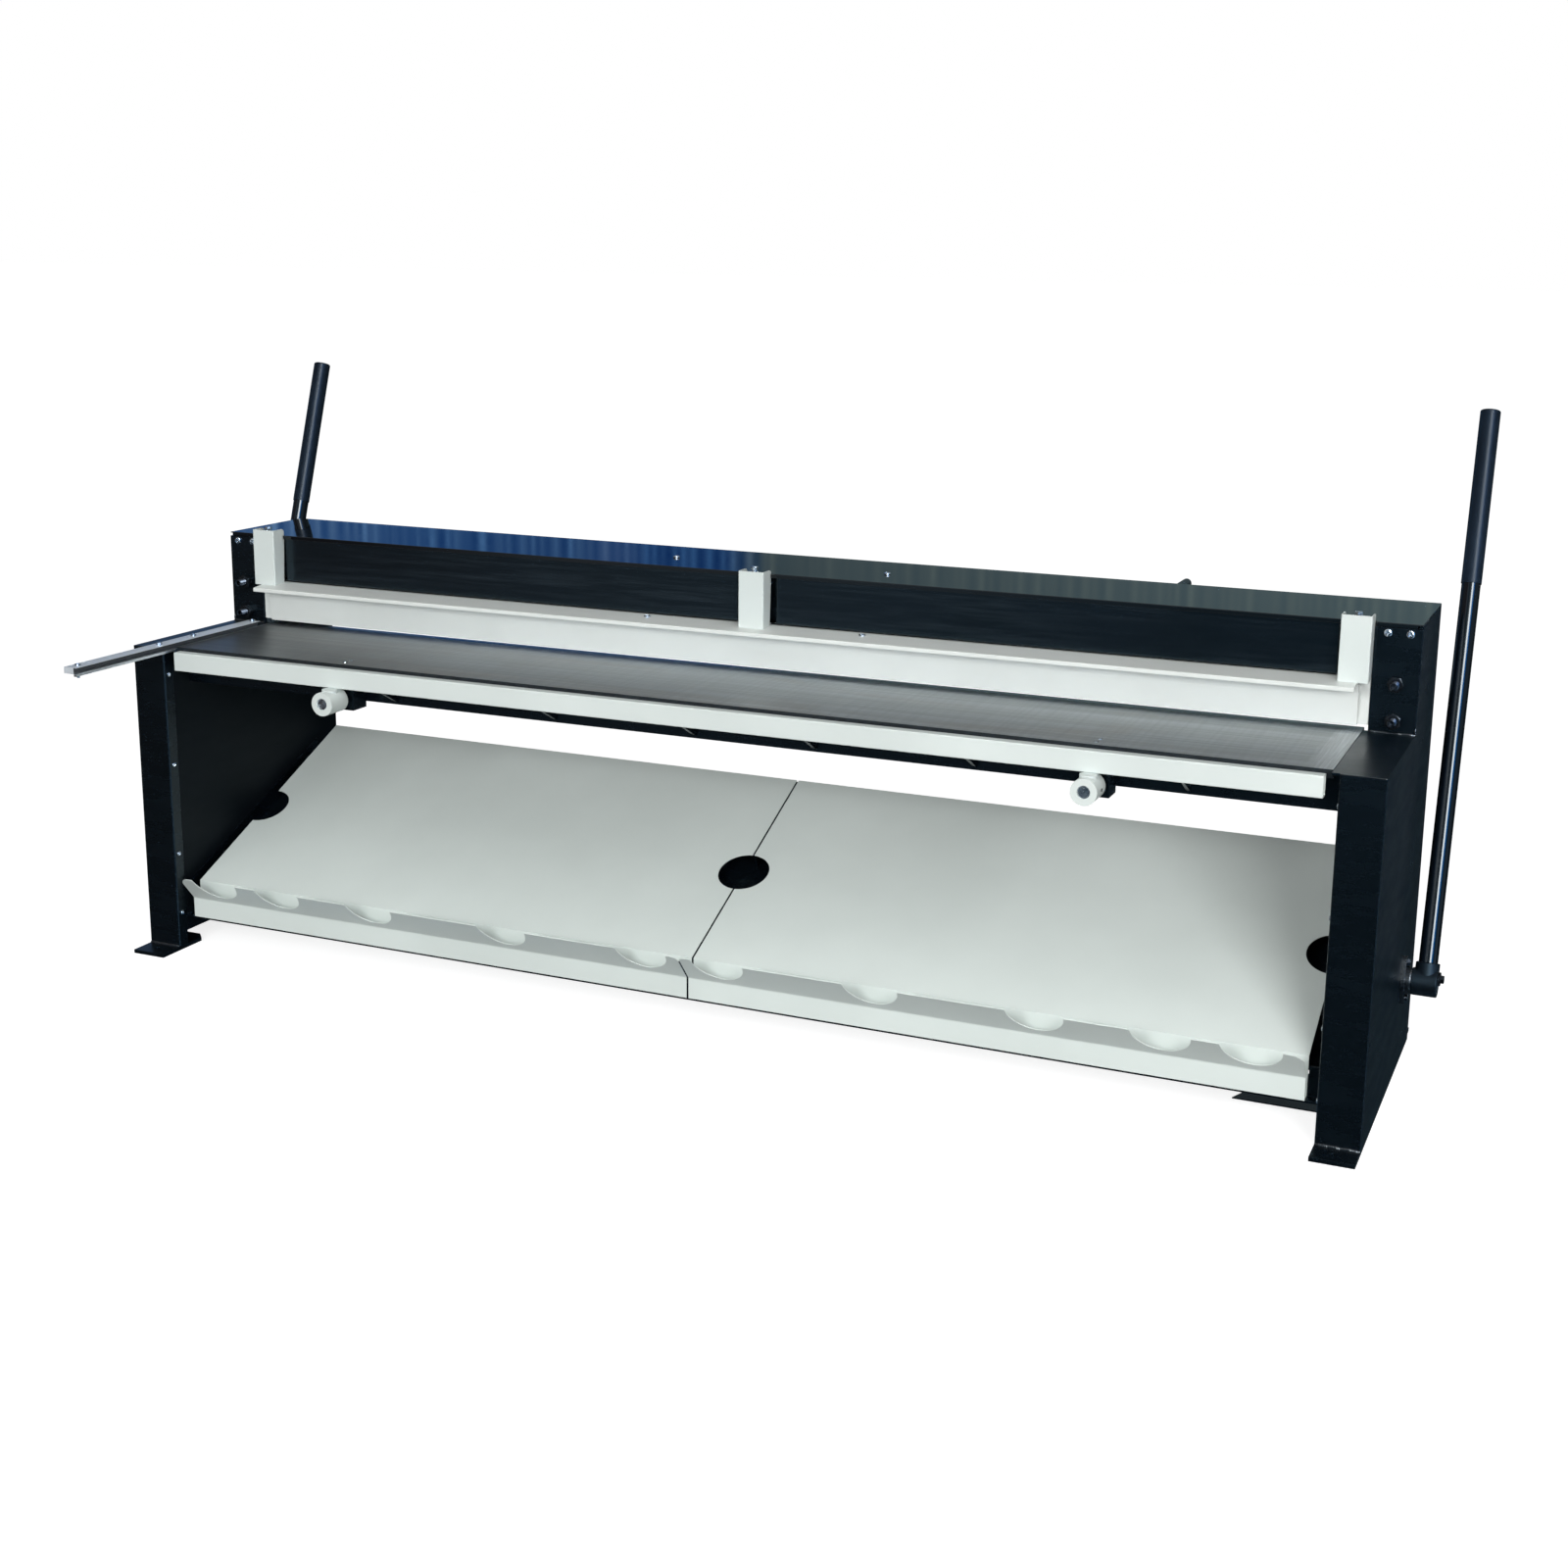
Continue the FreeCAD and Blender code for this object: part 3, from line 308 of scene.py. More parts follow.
def table_material():
    """Planed plate: grinding streaks along it, faint chatter across them, oil and rust tints. Its
    front and end faces keep the dark scale of the rolled plate."""
    n = NT("ground_steel")
    x, y, z = n.xyz()
    geo = n.node("ShaderNodeNewGeometry")
    up = n.math("GREATER_THAN", n.xyz(geo.outputs["True Normal"])[2], 0.7)
    g = n.noise(n.scale(1.3, 300.0, 60.0), 1.0, 5.0, 0.7)
    mid = n.noise(n.scale(0.7, 85.0, 20.0, loc=(1.7, 0.4, 0)), 1.0, 4.0, 0.65)
    wide = n.noise(n.scale(0.5, 26.0, 20.0, loc=(3.1, 0.4, 0)), 1.0, 4.0, 0.65)
    spots = n.noise(n.scale(1.1, 3.6, 1.0), 1.7, 5.0, 0.62, 0.8)
    chat = n.noise(n.scale(95.0, 1.2, 1.0, loc=(0.3, 0, 0)), 1.0, 2.0, 0.5)
    col = n.ramp(g, [(0.26, srgb(112, 117, 118)), (0.5, srgb(156, 160, 160)), (0.74, srgb(196, 200, 200))])
    col = n.mix(n.maprange(mid, 0.40, 0.68, 0.0, 0.55), col, srgb(122, 122, 122))
    col = n.mix(n.maprange(wide, 0.45, 0.66, 0.0, 0.45), col, srgb(196, 201, 203))
    col = n.mix(n.maprange(spots, 0.50, 0.70, 0.0, 0.42), col, srgb(142, 128, 114))
    col = n.mix(n.maprange(chat, 0.42, 0.62, 0.0, 0.14), col, srgb(96, 96, 98))
    # painted shade: the top darkens toward its left end
    col = n.mix(n.maprange(x, -1.55, -0.75, 0.9, 0.0), col, srgb(80, 81, 81))
    cross = n.noise(n.scale(240.0, 5.0, 1.0), 1.0, 4.0, 0.6)
    endc = n.ramp(cross, [(0.3, srgb(158, 160, 161)), (0.7, srgb(212, 216, 217))])
    wob = n.noise(n.scale(1.0, 11.0, 1.0), 1.0, 3.0, 0.6)
    edge = n.math("ADD", x, n.maprange(wob, 0.3, 0.7, -0.010, 0.010))
    col = n.mix(n.maprange(edge, 1.466, 1.486, 0.0, 0.75), col, endc)
    edgel = n.math("SUBTRACT", -1.522, n.math("SUBTRACT", x, n.maprange(wob, 0.3, 0.7, -0.004, 0.004)))
    col = n.mix(n.maprange(edgel, 0.0, 0.006, 0.0, 0.6), col, endc)
    scale_ = n.noise(n.co, 60.0, 4.0, 0.6)
    dark = n.ramp(scale_, [(0.3, srgb(14, 17, 20)), (0.7, srgb(28, 33, 37))])
    n.set(n.p, "Base Color", n.mix(up, dark, col))
    n.set(n.p, "Metallic", n.maprange(up, 0.0, 1.0, 0.2, 0.85))
    n.set(n.p, "Roughness", n.math("ADD", n.maprange(wide, 0.3, 0.7, 0.34, 0.46), n.maprange(g, 0.3, 0.7, -0.03, 0.04)))
    nor = n.bump(g, 0.22, 0.0003, n.bevel(0.0010))
    nor = n.bump(chat, 0.05, 0.0006, nor)
    n.set(n.p, "Normal", nor)
    return n.m


M["ground_steel"] = table_material()


def iron_material():
    n = NT("bearing_iron")
    lump = n.noise(n.co, 260.0, 3.0, 0.6)
    n.set(n.p, "Base Color", n.ramp(lump, [(0.3, srgb(9, 13, 17)), (0.7, srgb(18, 23, 28))]))
    n.set(n.p, "Roughness", n.maprange(lump, 0.3, 0.7, 0.24, 0.36))
    n.set(n.p, "Normal", n.bump(lump, 0.35, 0.0006, n.bevel(0.002)))
    return n.m


M["bearing_iron"] = iron_material()


def grip_material():
    n = NT("grip_sleeve")
    f = n.noise(n.co, 700.0, 3.0, 0.6)
    w = n.noise(n.co, 9.0, 3.0, 0.6)
    n.set(n.p, "Base Color", n.ramp(w, [(0.3, srgb(13, 22, 32)), (0.7, srgb(21, 32, 44))]))
    n.set(n.p, "Roughness", n.maprange(f, 0.3, 0.7, 0.32, 0.44))
    n.set(n.p, "Specular IOR Level", 0.22)
    n.set(n.p, "Normal", n.bump(f, 0.15, 0.0003, n.bevel(0.001)))
    return n.m


M["grip_sleeve"] = grip_material()

def rod_material():
    """Turned rod: fine rings on its round face, concentric tool marks on its ends, and a painted reflection on the
    ends: two opposite dark sectors round the axis.
    """
    n = NT("turned_rod")
    x, y, z = n.xyz()
    ax = n.math("SUBTRACT", n.math("ABSOLUTE", x), 1.009)
    az = n.math("SUBTRACT", z, 0.760)
    r = n.math("SQRT", n.math("ADD", n.math("MULTIPLY", ax, ax), n.math("MULTIPLY", az, az)))
    ring = n.math("SINE", n.math("MULTIPLY", r, 6000.0))
    grain = n.noise(n.scale(60, 900, 60), 1.0, 3.0, 0.6)
    # painted reflection: fan darkens two opposite sectors of each end face, like the light and dark fan that turned
    # marks show
    ang = n.math("ARCTAN2", az, ax)
    fan = n.math("ABSOLUTE", n.math("SINE", n.math("ADD", ang, 0.5)))
    geo = n.node("ShaderNodeNewGeometry")
    ny = n.xyz(geo.outputs["Normal"])[1]
    end = n.math("GREATER_THAN", n.math("ABSOLUTE", ny), 0.9)
    face = n.ramp(n.maprange(ring, -1, 1, 0, 1), [(0.0, (0.55, 0.57, 0.60)), (1.0, (0.82, 0.84, 0.87))])
    face = n.mix(n.math("MULTIPLY", fan, 0.55), face, (0.26, 0.27, 0.29))
    side = n.ramp(grain, [(0.3, (0.5, 0.51, 0.53)), (0.7, (0.68, 0.69, 0.71))])
    n.set(n.p, "Base Color", n.mix(end, side, face))
    n.set(n.p, "Metallic", 1.0)
    n.set(n.p, "Roughness", n.maprange(grain, 0.3, 0.7, 0.22, 0.34))
    n.set(n.p, "Normal", n.bump(ring, 0.15, 0.0002, n.bevel(0.0006)))
    return n.m


M["turned_rod"] = rod_material()

SLOTS = {}
for mat in frame["record"].get("materials", []):
    for nd in mat.get("nodes", []):
        SLOTS[nd] = mat["slot"]


def give(obj, mat):
    obj.data.materials.clear()
    obj.data.materials.append(mat)
    for p in obj.data.polygons:
        p.material_index = 0


special = {
    "top_cover": "cover_paint", "front_panel_left": "panel_paint", "front_panel_right": "panel_paint",
    "outer_panel_left": "side_paint", "outer_panel_right": "side_paint",
    "inner_panel_left": "inner_paint", "inner_panel_right": "inner_paint",
    "chute_left": "chute_paint", "chute_right": "chute_paint", "rail_rods": "turned_rod",
    "squaring_arm": "arm_aluminium", "rear_rod": "black_paint",
    "hold_down_bar": "bar_paint_painted_bounce", "lip_plate": "bar_paint_painted_bounce",
    "lever_hubs": "hub_paint",
}
GROUPS = {
    "ground_steel": ("table_plate",),
    "blade_steel": ("lower_blade", "upper_blade"),
    "black_oxide_screws": ("lower_blade_screws", "upper_blade_screws", "gib_lock_nuts", "gib_set_screws",
                           "hub_bolts", "bearing_bolts"),
    "zinc_screws": ("pan_screws", "side_screws", "arm_screws", "spring_bolts"),
    "aluminium": ("squaring_arm", "arm_edge_strip"),
    "brass": ("gib_strips",),
    "white_paint": ("hold_down_bar", "lip_plate", "hold_down_brackets", "front_rail", "rail_collars"),
    "bright_steel": ("torsion_shaft", "crank_pins", "link_pins", "drive_links", "guide_shoes"),
    "gloss_black_paint": ("lever_tube_left", "lever_tube_right"),
    "grip_sleeve": ("lever_grips",),
    "bearing_iron": ("flange_bearings",),
    "spring_steel": ("hold_down_springs",),
}
for n_, o_ in NODES.items():
    key = special.get(n_)
    if key is None:
        key = next((g for g, ns in GROUPS.items() if n_ in ns), "black_paint")
    give(o_, M[key])



# ------------------------------------------------------- mesh construction
def P(x, y, z):
    """Millimetres measured from the front face of the legs, to metres in the model's frame."""
    return Vector((x / 1000.0, y / 1000.0 + YS, z / 1000.0))


def basis(p, d):
    """Matrix that puts local +Z along d at p."""
    q = Vector(d).to_track_quat("Z", "Y")
    return Matrix.Translation(p) @ q.to_matrix().to_4x4()


def rings(bm, M_, layers, n, phase=0.0, close_bottom=True, close_top=True):
    """Skin through layers of (radius function or number, z), all with n points round local Z."""
    prev = None
    first = None
    for rad, z in layers:
        if callable(z):
            zf = z
        else:
            zf = (lambda v: (lambda a, r: v))(z)
        if not callable(rad) and rad <= 1e-9:
            v = bm.verts.new(M_ @ Vector((0, 0, zf(0.0, 0.0))))
            for i in range(n):
                bm.faces.new((prev[i], prev[(i + 1) % n], v))
            prev = None
            continue
        ring = []
        for i in range(n):
            a = 2 * math.pi * i / n + phase
            r = rad(a) if callable(rad) else rad
            ring.append(bm.verts.new(M_ @ Vector((r * math.cos(a), r * math.sin(a), zf(a, r)))))
        if prev is not None:
            for i in range(n):
                j = (i + 1) % n
                bm.faces.new((prev[i], prev[j], ring[j], ring[i]))
        if first is None:
            first = ring
        prev = ring
    if close_bottom and first:
        bm.faces.new(tuple(reversed(first)))
    if close_top and prev:
        bm.faces.new(tuple(prev))


def hexr(af, turn=0.0):
    def f(a):
        t = (a - turn + math.pi / 6) % (math.pi / 3) - math.pi / 6
        return af / 2 / math.cos(t)
    return f


def crossr(L, w):
    def f(a):
        c, s = max(abs(math.cos(a)), 1e-6), max(abs(math.sin(a)), 1e-6)
        return max(min(L / c, w / s), min(w / c, L / s))
    return f


def lerp_r(f, g, k):
    ff = f if callable(f) else (lambda a: f)
    gg = g if callable(g) else (lambda a: g)
    return lambda a: ff(a) * (1 - k) + gg(a) * k


def hex_head(bm, p, d, af, h, shank=None, length=0.0, socket=None, turn=0.0, washer_face=True):
    """Hexagon head with turned chamfer, underside at p, head along d; shank the other way."""
    m = basis(p, d)
    n = 72
    hx = hexr(af, turn)
    rc = af / 2 * 0.97
    t30 = math.tan(math.radians(28))
    z0 = 0.0003 if washer_face else 0.0
    layers = []
    if shank:
        layers += [(shank - 0.0006, -length), (shank, -length + 0.0006), (shank, 0.0)]
    layers += [(af / 2 * 0.93, 0.0), (af / 2 * 0.95, z0), (hx, z0),
               (hx, lambda a, r: h - max(0.0, r - rc) * t30 - 0.0002), (rc, h - 0.00005), (rc * 0.97, h)]
    if socket:
        sx = hexr(socket, turn)
        layers += [(lambda a: sx(a) * 1.08, h), (sx, h - 0.0006), (sx, h * 0.35), (0.0, h * 0.28)]
        rings(bm, m, layers, n, close_top=False)
    else:
        layers += [(rc * 0.5, h + 0.00012), (0.0, h + 0.00015)]
        rings(bm, m, layers, n, close_top=False)


def nut(bm, p, d, af, h, bore, turn=0.0):
    """Hexagon nut with chamfers on both faces and a countersunk bore."""
    m = basis(p, d)
    hx = hexr(af, turn)
    rc = af / 2 * 0.97
    t30 = math.tan(math.radians(30))
    cap = h
    layers = [(bore, h * 0.12), (bore + 0.0009, 0.0), (rc, 0.0),
              (hx, lambda a, r: max(0.0, r - rc) * t30),
              (hx, lambda a, r: cap - max(0.0, r - rc) * t30), (rc, cap), (bore + 0.0009, cap), (bore, cap - h * 0.12),
              (bore, h * 0.12)]
    rings(bm, m, layers, 72, close_bottom=False, close_top=False)


def pan_head(bm, p, d, R, h, shank, length, arm, width, depth, turn=0.0):
    """Domed head with a cross recess, underside at p."""
    m = basis(p, d) @ Matrix.Rotation(turn, 4, "Z")

    def dome(a, r):
        k = min(1.0, r / R)
        return h * (0.55 + 0.45 * math.sqrt(max(0.0, 1 - k * k)))
    cr = crossr(arm, width)
    layers = [(shank, -length), (shank, 0.0), (R * 0.97, 0.0), (R, h * 0.08), (R, h * 0.55)]
    for k in (0.985, 0.94, 0.86, 0.76, 0.66):
        layers.append((R * k, dome))
    layers += [(lerp_r(R * 0.66, cr, 0.6), dome), (lambda a: cr(a) * 1.05, dome),
               (cr, lambda a, r: dome(a, r) - 0.0002), (lambda a: cr(a) * 0.8, h - depth), (0.0, h - depth * 1.15)]
    rings(bm, m, layers, 96, close_top=False)


def round_head(bm, p, d, R, h, shank, length, socket, turn=0.0):
    """Cylinder head with a chamfer and a hexagon socket, underside at p."""
    sx = hexr(socket, turn)
    rings(bm, basis(p, d), [(shank - 0.0005, -length), (shank, 0.0005 - length), (shank, 0.0), (R * 0.96, 0.0), (R, 0.0003),
          (R, h * 0.78), (R * 0.93, h * 0.95), (R * 0.84, h), (lambda a: sx(a) * 1.12, h), (sx, h - 0.0005),
          (sx, h * 0.3), (0.0, h * 0.22)], 72, close_top=False)


def socket_screw(bm, p, d, r, length, pitch, af, tip=0.0012):
    """Threaded set screw from p along d; the socket end is the far one."""
    m = basis(p, d)
    n = 36
    depth = pitch * 0.55
    turns = int(length / pitch) - 1
    steps = turns * 8
    layers = [(r * 0.6, 0.0), (r - depth, tip)]
    z = tip
    for i in range(steps + 1):
        k = i / 8.0
        z = tip + pitch * k * (length - 2 * tip) / (turns * pitch)
        saw = 0.5 - 0.5 * math.cos(2 * math.pi * k)
        layers.append((r - depth + depth * min(1.0, saw * 1.4), z))
    sx = hexr(af)
    layers += [(r - depth, length - tip), (r - depth - 0.0008, length), (lambda a: sx(a) * 1.1, length), (sx, length - 0.0007),
               (sx, length - af), (0.0, length - af * 1.15)]
    rings(bm, m, layers, n, close_top=False)


def tube_path(bm, pts, radius, n=10, rfun=None, squeeze=1.0):
    """Closed tube along a list of points with parallel transport."""
    pts = [Vector(p) for p in pts]
    t0 = (pts[1] - pts[0]).normalized()
    up = Vector((0, 0, 1)) if abs(t0.z) < 0.9 else Vector((1, 0, 0))
    nrm = t0.cross(up).normalized()
    prev = None
    first = None
    for i, p in enumerate(pts):
        a = pts[max(0, i - 1)]
        b = pts[min(len(pts) - 1, i + 1)]
        t = (b - a).normalized()
        nrm = (nrm - t * nrm.dot(t)).normalized()
        bi = t.cross(nrm)
        r = radius * (rfun(i, len(pts)) if rfun else 1.0)
        ring = [bm.verts.new(p + (nrm * math.cos(2 * math.pi * k / n) + bi * math.sin(2 * math.pi * k / n) * squeeze) * r)
                for k in range(n)]
        if prev:
            for k in range(n):
                j = (k + 1) % n
                bm.faces.new((prev[k], prev[j], ring[j], ring[k]))
        else:
            first = ring
        prev = ring
    bm.faces.new(tuple(reversed(first)))
    bm.faces.new(tuple(prev))


def weld(bm, a, b, r, seed):
    """Weld bead from a to b: overlapping ripples with a little wander."""
    a, b = Vector(a), Vector(b)
    q = random.Random(seed)
    L = (b - a).length
    step = 0.0009
    n = max(8, int(L / step))
    ph = q.random() * 6
    w1, w2 = q.random() * 9, q.random() * 9
    side = Vector((q.uniform(-1, 1), q.uniform(-1, 1), q.uniform(-1, 1))) * r * 0.07
    pts, rad = [], []
    for i in range(n + 1):
        s = L * i / n
        k = i / n
        pts.append(a.lerp(b, k) + side * math.sin(s * 170 + w1) + side * 0.8 * math.sin(s * 61 + w2))
        saw = ((s / 0.0034 + ph) % 1.0)
        endf = min(1.0, 0.55 + min(s, L - s) / (r * 1.6) * 0.45)
        rad.append((0.90 + 0.13 * math.sqrt(1 - saw) + 0.05 * math.sin(s * 230 + w2)) * endf)
    tube_path(bm, pts, r, 12, lambda i, m: rad[i])


def piece(name, bm, mat, body, replaces=(), smooth=38.0):
    bmesh.ops.remove_doubles(bm, verts=bm.verts, dist=2e-6)
    bmesh.ops.recalc_face_normals(bm, faces=bm.faces)
    me = bpy.data.meshes.new(name)
    bm.to_mesh(me)
    bm.free()
    me.polygons.foreach_set("use_smooth", [True] * len(me.polygons))
    me.set_sharp_from_angle(angle=math.radians(smooth))
    me.materials.append(M[mat])
    o = bpy.data.objects.new(name, me)
    SC.collection.objects.link(o)
    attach(o, body)
    if replaces:
        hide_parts(*replaces)
    return o


# ----------------------------------------------------------------- screws
bm = bmesh.new()
for sx in (-1, 1):
    for i, (x, z) in enumerate(((1573, 1085), (1623, 1085))):
        pan_head(bm, P(sx * x, 430, z), (0, -1, 0), 0.009, 0.0062, 0.004, 0.016, 0.0052, 0.0013, 0.0032,
                 turn=0.5 + i * 0.9 + sx)
for i, (x, y) in enumerate(((-297, 569), (309, 558))):
    pan_head(bm, P(x, y, 1108), (0, 0, 1), 0.0085, 0.006, 0.004, 0.007, 0.005, 0.0013, 0.003, turn=i * 0.7)
for i, (x, y) in enumerate(((-1006, 57), (1006, 57), (-1008, 87), (1008, 87))):
    round_head(bm, P(x, y, 847), (0, 0, 1), 0.0069, 0.0046, 0.004, 0.03, 0.006, turn=i * 0.4)
piece("pan_head_screws", bm, "zinc_screws", "frame", ("pan_screws",))

bm = bmesh.new()
for sx in (-1, 1):
    for i, z in enumerate((778, 527, 275, 106)):
        pan_head(bm, P(sx * 1550, 17, z), (-sx, 0, 0), 0.006, 0.0038, 0.003, 0.006, 0.0034, 0.0009, 0.002, turn=i * 1.1)
        nut(bm, P(sx * 1555, 17, z), (sx, 0, 0), 0.010, 0.004, 0.003, turn=i * 0.3)
piece("leg_edge_screws", bm, "zinc_screws", "frame", ("side_screws",))

bm = bmesh.new()
for i, (x, z) in enumerate(((-1506.0, 1125.0), (2.5, 1119.5), (1507.5, 1123.0))):
    t = (0.35, 0.9, 0.1)[i]
    hex_head(bm, P(x, 415, z), (0, 0, 1), 0.017, 0.008, shank=0.006, length=(z - 972) / 1000, turn=t)
    rings(bm, basis(P(x, 415, 1108), (0, 0, 1)), [(0.0062, 0.0), (0.0137, 0.0), (0.014, 0.0003), (0.014, 0.0022), (0.0137, 0.0025),
          (0.0062, 0.0025), (0.0062, 0.0)], 48, close_bottom=False, close_top=False)
    nut(bm, P(x, 415, 1110.5), (0, 0, 1), 0.017, 0.006, 0.0061, turn=t + 0.3)
for x, t in ((-304, 0.4), (300, 1.3)):
    pan_head(bm, P(x, 411, 967 + 8 * 60 / 83 - 0.1), (0, -8 / 83, 1), 0.0085, 0.0052, 0.003, 0.009, 0.0048, 0.0013, 0.003, turn=t)
piece("spring_bolt_set", bm, "zinc_screws", "hold_down", ("spring_bolts",))

bm = bmesh.new()
for sx in (-1, 1):
    for i, z in enumerate((969, 883)):
        nut(bm, P(sx * 1599, 430, z), (0, -1, 0), 0.034, 0.018, 0.0101, turn=0.25 + 0.6 * i + 0.2 * sx)
piece("lock_nuts", bm, "black_oxide_screws", "frame", ("gib_lock_nuts",))

bm = bmesh.new()
for sx in (-1, 1):
    for z in (969, 883):
        socket_screw(bm, P(sx * 1599, 441, z), (0, -1, 0), 0.01, 0.052, 0.0025, 0.010)
piece("set_screws", bm, "set_screw_steel", "frame", ("gib_set_screws",))

bm = bmesh.new()
for sx in (-1, 1):
    for i, dz in enumerate((-44, 44)):
        hex_head(bm, P(sx * 1660, 538, 232 + dz), (sx, 0, 0), 0.016, 0.007, shank=0.005, length=0.024, turn=0.3 + i)
        nut(bm, P(sx * 1646, 538, 232 + dz), (-sx, 0, 0), 0.017, 0.008, 0.005, turn=0.7 * i)
piece("bearing_bolt_set", bm, "dark_zinc", "frame", ("bearing_bolts",))

TILT = math.radians(18.34)
EY, EZ = 538 + math.sin(TILT) * 12, 232 + math.cos(TILT) * 12
bm = bmesh.new()
for sx in (-1, 1):
    rings(bm, basis(P(sx * 1733, EY, EZ), (sx, 0, 0)), [(0.0162, 0.0), (0.0165, 0.0004), (0.0165, 0.0046), (0.0161, 0.005)], 56)
    hex_head(bm, P(sx * 1738, EY, EZ), (sx, 0, 0), 0.019, 0.008, turn=0.2)
piece("hub_end_bolts", bm, "black_oxide_screws", "lever_shaft", ("hub_bolts",))

bm = bmesh.new()
for i, y in enumerate((-322.0, -12.0, 128.0, 384.0)):
    if i == 1:
        hex_head(bm, P(-1552, y, 864), (0, 0, 1), 0.014, 0.007, shank=0.004, length=0.024, turn=0.2)
    else:
        round_head(bm, P(-1552, y, 864), (0, 0, 1), 0.0075, 0.005, 0.004, 0.022 if i else 0.032, 0.006, turn=0.3)
    if i == 0:
        nut(bm, P(-1552, y, 847), (0, 0, -1), 0.013, 0.007, 0.004, turn=0.5)
piece("arm_screw_set", bm, "dull_zinc", "frame", ("arm_screws",))

# grub screw in the right-hand collar
bm = bmesh.new()
m_ = basis(P(1039.6, -9, 760), (1, 0, 0))
sx_ = hexr(0.004)
rings(bm, m_, [(0.0040, -0.004), (0.0040, 0.0008), (0.0036, 0.0012), (lambda a: sx_(a) * 1.1, 0.0012), (sx_, 0.0008), (sx_, -0.002),
               (0.0, -0.0025)], 48, close_top=False)
piece("collar_grub_screw", bm, "black_oxide_screws", "sheet_support")

# ---------------------------------------------------------------- springs
def spring(name, x):
    z0, z1, wire, R, turns = 1.046, 1.108, 0.0016, 0.0106, 8
    pts = []
    steps = 40 * (turns + 2)
    # a closed turn at each end, then even pitch
    h = z1 - z0 - 2 * wire
    for i in range(steps + 1):
        k = i / steps
        turn = k * (turns + 2)
        lead = 2 * wire * 1.01
        if turn < 1:
            z = lead * 0.5 * turn
        elif turn > turns + 1:
            z = h - lead * 0.5 * (turns + 2 - turn)
        else:
            z = lead * 0.5 + (h - lead) * (turn - 1) / turns
        a = 2 * math.pi * turn
        pts.append(Vector((x / 1000 + R * math.cos(a), 0.415 + YS + R * math.sin(a), z0 + wire + z)))
    b = bmesh.new()
    tube_path(b, pts, wire * 0.98, 10)
    return piece(name, b, "spring_steel", "frame", smooth=80)


for i, x in enumerate((-1506.0, 2.5, 1507.5)):
    o = spring("hold_down_spring_%d" % (i + 1), x)
    if i == 0:
        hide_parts("hold_down_springs")
    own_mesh(o)

# ------------------------------------------------------------------ welds
bm = bmesh.new()
for sx in (-1, 1):
    k = 3 if sx > 0 else 11
    weld(bm, P(sx * 1550.5, 0.5, 10.5), P(sx * 1649.5, 0.5, 10.5), 0.0058, k)
    weld(bm, P(sx * 1550, 760, 10.3), P(sx * 1640, 760, 10.3), 0.0045, k + 3)
    # foot of the upright on the top flange, and its outer corner
    weld(bm, P(sx * 1543.8, 430.2, 852.2), P(sx * 1649.5, 430.2, 852.2), 0.0048, k + 4)
    weld(bm, P(sx * 1648.6, 431, 853), P(sx * 1648.6, 431, 868), 0.0028, k + 5)
    # tie bar and beams where they meet the side frames
    weld(bm, P(sx * 1549.6, 36, 94.6), P(sx * 1549.6, 56, 94.6), 0.0030, k + 6)
    weld(bm, P(sx * 1549.6, 150, 746), P(sx * 1549.6, 150, 830), 0.0035, k + 7)
    weld(bm, P(sx * 1549.6, 100, 744), P(sx * 1549.6, 150, 744), 0.0035, k + 8)
    weld(bm, P(sx * 1549.6, 692, 140), P(sx * 1549.6, 748, 140), 0.0035, k + 9)
    weld(bm, P(sx * 1549.6, 690, 82), P(sx * 1549.6, 690, 138), 0.0035, k + 10)
    # leg top corner where flange and panel are joined
    weld(bm, P(sx * (1552 if sx > 0 else 1574), 0.9, 850.6), P(sx * 1648.0, 0.9, 850.6), 0.0017, k + 12)
for i, x in enumerate((-880.0, -405.0, -14.0, 307.0, 710.0, 1210.0)):
    for s in (-4, 4):
        weld(bm, P(x + s, 38, 831.5), P(x + s, 98, 831.5), 0.0030, 40 + 2 * i + s)
piece("weld_beads", bm, "weld_paint", "frame", smooth=60)

# ------------------------------------------------------------------ studio
def area(name, loc, look, size, energy, color=(1, 1, 1), size_y=None):
    d = bpy.data.lights.new(name, "AREA")
    d.shape = "RECTANGLE"
    d.size = size
    d.size_y = size_y or size
    d.energy = energy
    d.color = color
    o = bpy.data.objects.new(name, d)
    o.location = loc
    o.rotation_mode = "QUATERNION"
    o.rotation_quaternion = (Vector(look) - Vector(loc)).to_track_quat("-Z", "Y")
    o.visible_camera = False
    SC.collection.objects.link(o)
    return o


def sun(name, direction, strength, angle, color=(1, 1, 1)):
    d = bpy.data.lights.new(name, "SUN")
    d.energy = strength
    d.angle = math.radians(angle)
    d.color = color
    o = bpy.data.objects.new(name, d)
    o.rotation_mode = "QUATERNION"
    o.rotation_quaternion = Vector(direction).to_track_quat("-Z", "Y")
    SC.collection.objects.link(o)
    return o


